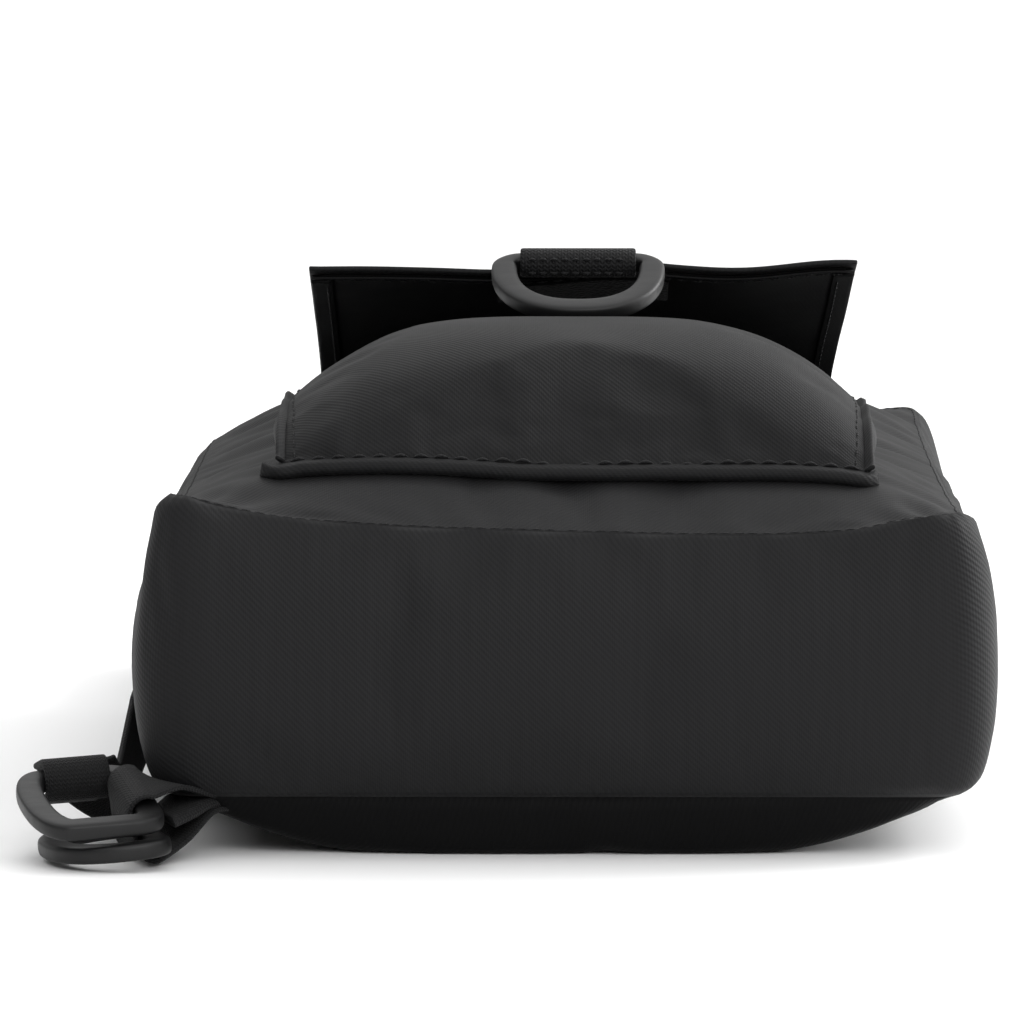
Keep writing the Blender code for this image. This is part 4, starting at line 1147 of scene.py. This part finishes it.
def arc_round(centre, out, up, first, last, radius, steps=8):
    """Points on a circle round a bar; angles in degrees from out towards up."""
    angles = [math.radians(angle) for angle in spread(first, last, steps)]
    return [centre + (out * math.cos(a) + up * math.sin(a)) * radius for a in angles]


LOOP_RADIUS, FLAP_LOOP = 3.4 * MM, 2.3 * MM    # webbing round a corner ring's and the flap ring's bar
WEB_THICK = 1.1 * MM
FLAP_TAB_WIDTH = 26.6 * MM
RING_BAND, RING_THICK = 3.0 * MM, 2.0 * MM    # half the ring's width in its plane, and across it
RING_HALF = 17 * MM
RING_BAR = 1.9 * MM               # half the straight bar's width
RING_SHIFT = -1.2 * MM            # the flap's ring and tab sit this far left of the middle
RING_HANG = math.radians(23)
RING_CORNER = 4 * MM
ARC_POWER = 0.85
RING_EDGE = 0.5                   # below 1 squares the band's section off


def powered(value, power):
    """A power that keeps the value's sign; below 1 it squares a circle off."""
    return math.copysign(abs(value) ** power, value)


def ring_outline(depth, leg):
    """A D-ring's middle line, as (along the bar, away from it): corner, arc, corner and bar."""
    bar = RING_HALF - RING_CORNER
    corner = []
    for k in range(9):
        angle = math.pi / 2 * k / 8
        corner.append((bar + RING_CORNER * math.sin(angle), RING_CORNER * (1 - math.cos(angle))))
    arc, steps = [], 40
    for i in range(1, steps):
        angle = math.pi * i / steps
        across, out = powered(math.cos(angle), ARC_POWER), math.sin(angle) ** ARC_POWER
        arc.append((RING_HALF * across, leg + (depth - leg) * out))
    other_corner = [(-a, r) for a, r in reversed(corner)]
    straight = [(a, 0.0) for a in spread(-bar, bar, 10)[1:-1]]
    return [Vector(point) for point in corner + arc + other_corner + straight]


def make_ring(name, node, pivot, along, reach, depth, leg, body, bar_half=RING_BAND):
    """A moulded D-ring with a flat-faced band: straight bar, two legs and a squarish arc."""
    outline = ring_outline(depth, leg)
    lengths = distances(outline)
    up = along.cross(reach).normalized()
    points, faces, uvs, corners = [], [], [], 20
    count = len(outline)
    for i, here in enumerate(outline):
        ahead = (outline[(i + 1) % count] - outline[i - 1]).normalized()
        out = Vector((ahead.y, -ahead.x))
        band = bar_half + (RING_BAND - bar_half) * smooth(here.y / RING_CORNER)
        for k in range(corners):
            angle = 2 * math.pi * k / corners
            a = powered(math.cos(angle), RING_EDGE) * band
            b = powered(math.sin(angle), RING_EDGE) * RING_THICK
            flat = here + out * a
            points.append(pivot + along * flat.x + reach * flat.y + up * b)
    for i, v in enumerate(lengths):
        a, b = i * corners, (i + 1) % count * corners
        for k in range(corners):
            faces.append((a + k, b + k, b + (k + 1) % corners, a + (k + 1) % corners))
            uvs.append([(k * MM, v), (k * MM, v + MM), (k * MM + MM, v + MM), (k * MM + MM, v)])
    subdivide(link(name, turned_out(build(name, points, faces, uvs)), PLASTIC, body, node))


def make_flap_tab():
    """Webbing sewn on the flap in two layers, with its fold round the ring's bar."""
    half = FLAP_TAB_WIDTH / 2
    middle = RING_SHIFT / FLAP_HALF
    bar = joint_point("flap_ring_turn") + RIGHT * RING_SHIFT
    first = -(WEB_THICK + 0.5 * MM)
    stations = (0.19, 0.28, 0.4, 0.52, 0.65, 0.8, 0.92)
    lower = [(flap_place(middle, t, first), RIGHT) for t in stations]
    upper = [(flap_place(middle, t, first - WEB_THICK - 0.3 * MM), RIGHT) for t in reversed(stations)]
    turn = [(p, RIGHT) for p in arc_round(bar, BACK, UP, -60, -300, FLAP_LOOP, 14)]
    path = lower + turn + upper
    strip("flap_tab_webbing", path, half, WEB_THICK, WEB, "flap", "flap_tab", step=1 * MM, offset=-0.5)
    outside = FLAP_LOOP + WEB_THICK
    for number, rise in enumerate((0.9 * MM, -2.1 * MM)):
        out = -BACK * math.sqrt(outside**2 - rise**2) + UP * rise
        reach = half - 1.5 * MM
        row = [(bar + out + RIGHT * x, out.normalized()) for x in spread(-reach, reach, 12)]
        stitch = {"length": 1.7 * MM, "space": 0.8 * MM, "width": 0.42 * MM, "lift": 0.3 * MM}
        stitches(f"flap_tab_stitches_{number}", row, "flap", **stitch)


# ---------------------------------------------------------------- corner rings and their tab
LOWER_BAR, UPPER_BAR = joint_point("lower_ring_turn"), joint_point("upper_ring_turn")
LOWER_ALONG, UPPER_ALONG = joint_axis("lower_ring_turn"), -joint_axis("upper_ring_turn")
OUTWARD = LOWER_ALONG.cross(UP).normalized()
UPPER_REACH = -joint_axis("strap_lift")
LOWER_REACH = Matrix.Rotation(math.radians(5.5), 3, LOWER_ALONG) @ OUTWARD
LOWER_LIFT, UPPER_LIFT = LOWER_REACH.cross(LOWER_ALONG), UPPER_REACH.cross(UPPER_ALONG)
TAB_ROOT = Vector((LOWER_BAR.x + 9.8 * MM, LOWER_BAR.y + 10.8 * MM, 11.2 * MM))
TAB_HALF, TAB_GATHER = 11 * MM, 0.68


def make_corner():
    """The webbing tab in the bag's corner seam, folded round the bars of two rings."""
    root_across = Vector((1, -1, 0)).normalized() * TAB_GATHER
    half_way = (root_across.normalized() + LOWER_ALONG) / 2 * (1 + TAB_GATHER) / 2
    root_low, root_high = TAB_ROOT - UP * 1.0 * MM, TAB_ROOT + UP * 1.6 * MM
    inside = Vector((5, 5, 0)) * MM
    path = [(root_low + inside, root_across), (root_low, root_across)]
    path.append(((root_low + LOWER_BAR) / 2 - UP * 2.6 * MM, half_way))
    for point in arc_round(LOWER_BAR, OUTWARD, LOWER_LIFT, -95, 5, LOOP_RADIUS):
        path.append((point, LOWER_ALONG))
    for point in arc_round(UPPER_BAR, OUTWARD, UPPER_LIFT, -5, 110, LOOP_RADIUS):
        path.append((point, UPPER_ALONG))
    path.append(((root_high + UPPER_BAR) / 2 + UP * 2.4 * MM, half_way))
    path += [(root_high, root_across), (root_high + inside, root_across)]
    strip("corner_tab_webbing", path, TAB_HALF, WEB_THICK, WEB, "bag", "corner_tab", step=1 * MM, offset=-0.5)
    middle = (root_low + root_high) / 2
    end = (LOWER_BAR + UPPER_BAR) / 2 - OUTWARD * (LOOP_RADIUS + WEB_THICK + 0.6 * MM)
    path = [(middle + inside, root_across), (middle, root_across)]
    path += [(middle.lerp(end, 0.5), half_way), (end, LOWER_ALONG)]
    strip("corner_tab_filler", path, TAB_HALF - 0.6 * MM, 2.4 * MM, WEB, "bag", step=1 * MM)
    lower = (LOWER_BAR, LOWER_ALONG, LOWER_REACH, 20 * MM, RING_CORNER)
    upper = (UPPER_BAR, UPPER_ALONG, UPPER_REACH, 22.5 * MM, 17 * MM)
    make_ring("ring_lower_body", "corner_ring_lower", *lower, "ring_lower")
    make_ring("ring_upper_body", "corner_ring_upper", *upper, "ring_upper")


# ---------------------------------------------------------------- strap
STRAP_HALF, STRAP_THICK, STRAP_GATHER = 11 * MM, 1.4 * MM, 0.66
STRAP_X, STRAP_Z, STRAP_LOW_Z = -96.5 * MM, 16.2 * MM, 8.7 * MM
STRAP_CLEAR = 1.6 * MM            # the gathered webbing passes the corner this much further out
STRAP_EDGE_Y, STRAP_FULL_Y, STRAP_JOIN_Y = -104 * MM, -60 * MM, 205 * MM
TURN_RADIUS = 40 * MM
PAD_HALF, PAD_THICK = 21 * MM, 5 * MM
ANCHOR = joint_point("pad_lift")


def turn_points(first, last, z):
    """Points on the strap's turn behind the bag; angles in degrees from the right."""
    centre = Vector((STRAP_X + TURN_RADIUS, STRAP_JOIN_Y, z))
    return arc_round(centre, RIGHT, BACK, first, last, TURN_RADIUS, 10)


def make_strap():
    leg = joint_point("strap_lift")
    backward = -UPPER_ALONG
    narrow = UPPER_REACH * STRAP_GATHER
    level = Vector((backward.x, backward.y, 0)).normalized()
    lift = UPPER_REACH.cross(-level).normalized()
    path = [(leg + level * 12 * MM - lift * 5.5 * MM, narrow)]
    for point in arc_round(leg, level, lift, -65, -290, LOOP_RADIUS, 12):
        path.append((point, narrow))
    start = leg + level * 8 * MM + lift * 1.6 * MM
    end = Vector((STRAP_X - STRAP_CLEAR, STRAP_EDGE_Y, STRAP_LOW_Z))
    for i in range(11):
        share = smooth(i / 10)
        point = start.lerp(end, i / 10)
        point.x = start.x + (end.x - start.x) * share
        point.z = start.z + (end.z - start.z) * share
        path.append((point, UPPER_REACH.lerp(-UP, share).normalized() * STRAP_GATHER))
    for i in range(1, 5):
        y = STRAP_EDGE_Y + (STRAP_FULL_Y - STRAP_EDGE_Y) * i / 4
        width = STRAP_GATHER + (1 - STRAP_GATHER) * smooth(i / 4)
        z = STRAP_LOW_Z + (STRAP_Z - STRAP_LOW_Z) * smooth(i / 4)
        x = STRAP_X - STRAP_CLEAR * (1 - smooth(i / 4))
        path.append((Vector((x, y, z)), -UP * width))
    for y in (0.0, 70 * MM, 140 * MM, STRAP_JOIN_Y):
        path.append((Vector((STRAP_X, y, STRAP_Z)), -UP))
    path += [(point, -UP) for point in turn_points(180, 97, STRAP_Z)]
    strip("strap_tape", path, STRAP_HALF, STRAP_THICK, WEB, "strap", "strap_webbing", offset=0.5)
    refined("strap_adjuster", "adjuster_body", PLASTIC, "adjuster", voxel=0.5 * MM)
    make_pad()


def make_pad():
    """The padded shoulder strap, its bound edges, and the cloth joining it to the bag's top."""
    middle = PAD_HALF + 1.0 * MM
    path = [(point, UP) for point in turn_points(90, 5, middle)]
    last, goal = path[-1][0], Vector((0, ANCHOR.y + 0.7 * MM, ANCHOR.z))
    for i in range(1, 13):
        share = smooth(i / 12)
        point = last.lerp(goal, i / 12)
        point.x = last.x + (goal.x - last.x) * share
        across = UP.lerp(-RIGHT, share).normalized()
        lean = math.sqrt(max(0.0, 1 - across.z**2))
        point.z = max(point.z, 1.0 * MM + across.z * PAD_HALF + lean * PAD_THICK * 0.7)
        path.append((point, across))
    inset = 1 * MM
    size = (PAD_HALF - inset, PAD_THICK - inset)
    pad = strip("shoulder_pad_cloth", path, *size, MESH_CLOTH, "pad", "shoulder_pad", step=4 * MM)
    subdivide(pad)
    fine = smooth_path(path, 4 * MM)
    for name, sign in (("low", -1), ("high", 1)):
        edge = []
        for i, (centre, across) in enumerate(fine):
            ahead = fine[min(i + 1, len(fine) - 1)][0] - fine[max(i - 1, 0)][0]
            normal = ahead.cross(across).normalized()
            edge.append((centre + across * sign * (PAD_HALF - 1.2 * MM), normal))
        strip(f"pad_binding_{name}", edge, PAD_THICK / 2 + 0.3 * MM, 2.0 * MM, TAPE, "pad", step=4 * MM)
    root = [(Vector((0, y, ANCHOR.z)), RIGHT) for y in np.linspace(HALF_Y - 2 * MM, ANCHOR.y + 4 * MM, 6)]
    made = strip("pad_root_cloth", root, PAD_HALF - 0.5 * MM, 4.0 * MM, TWILL, None)
    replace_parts(made, "strap_anchor")
    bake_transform(made)


# ---------------------------------------------------------------- pieces kept from the CAD
def finish_kept_nodes():
    """Hidden stiffeners and linings keep their CAD shape and get their own material."""
    foam = twill("foam_grey", 0.12, 0.2, period=1.4, sheen=0.0)
    board = plastic("board_grey", 0.03, 0.07, 0.55)
    finishes = {
        "back_foam": foam,
        "base_board": board,
        "back_lining": LINING,
        "inner_slip_pocket": LINING,
    }
    for name, material in finishes.items():
        for slot in frame["nodes"][name].material_slots:
            slot.material = material


# ---------------------------------------------------------------- studio
def area_light(name, place, target, size, power):
    data = bpy.data.lights.new(name, "AREA")
    data.shape = "RECTANGLE"
    data.size, data.size_y = size
    data.energy = power
    made = bpy.data.objects.new(name, data)
    made.location = place
    made.rotation_euler = (Vector(target) - Vector(place)).to_track_quat("-Z", "Y").to_euler()
    bpy.context.scene.collection.objects.link(made)


def make_studio():
    mesh = bpy.data.meshes.new("floor")
    ground = bmesh.new()
    bmesh.ops.create_grid(ground, x_segments=1, y_segments=1, size=12.0)
    ground.to_mesh(mesh)
    ground.free()
    floor = bpy.data.objects.new("floor", mesh)
    floor.location.z = -0.2 * MM
    mesh.materials.append(studio_floor())
    bpy.context.scene.collection.objects.link(floor)
    make_world()
    bpy.context.scene.view_settings.view_transform = "Standard"
    area_light("overhead", (0, 2, 4), (0, 2, 0), (12, 12), 370)
    area_light("front", (0.5, -1.8, 1.0), (0, 0, 0.05), (1.4, 0.9), 14)
    area_light("right", (1.2, 0.5, 0.7), (0, 0, 0.06), (0.7, 1.0), 20)


def make_world():
    """White surroundings, brighter on the right than on the left."""
    world = bpy.data.worlds.new("studio")
    world.use_nodes = True
    world.node_tree.nodes["Background"].inputs["Color"].default_value = (1, 1, 1, 1)
    nodes, links = world.node_tree.nodes, world.node_tree.links
    place, split = nodes.new("ShaderNodeTexCoord"), nodes.new("ShaderNodeSeparateXYZ")
    brighter = nodes.new("ShaderNodeMapRange")
    for key, value in {"From Min": -1, "From Max": 1, "To Min": 0.3, "To Max": 0.9}.items():
        brighter.inputs[key].default_value = value
    links.new(place.outputs["Generated"], split.inputs[0])
    links.new(split.outputs["X"], brighter.inputs["Value"])
    links.new(brighter.outputs[0], nodes["Background"].inputs["Strength"])
    bpy.context.scene.world = world


def make_camera():
    data = bpy.data.cameras.new("camera")
    data.lens, data.sensor_width = 306.7, 36
    data.clip_start, data.clip_end = 0.1, 30
    camera = bpy.data.objects.new("camera", data)
    camera.location = (0.0, -2.016, 0.254)
    camera.rotation_euler = (math.radians(90 - 5.45), 0, math.radians(0.355))
    bpy.context.scene.collection.objects.link(camera)
    bpy.context.scene.camera = camera


panel_stitches()
make_zip()
make_patches(make_pocket())
make_flap()
make_corner()
make_strap()
finish_kept_nodes()
make_studio()
make_camera()
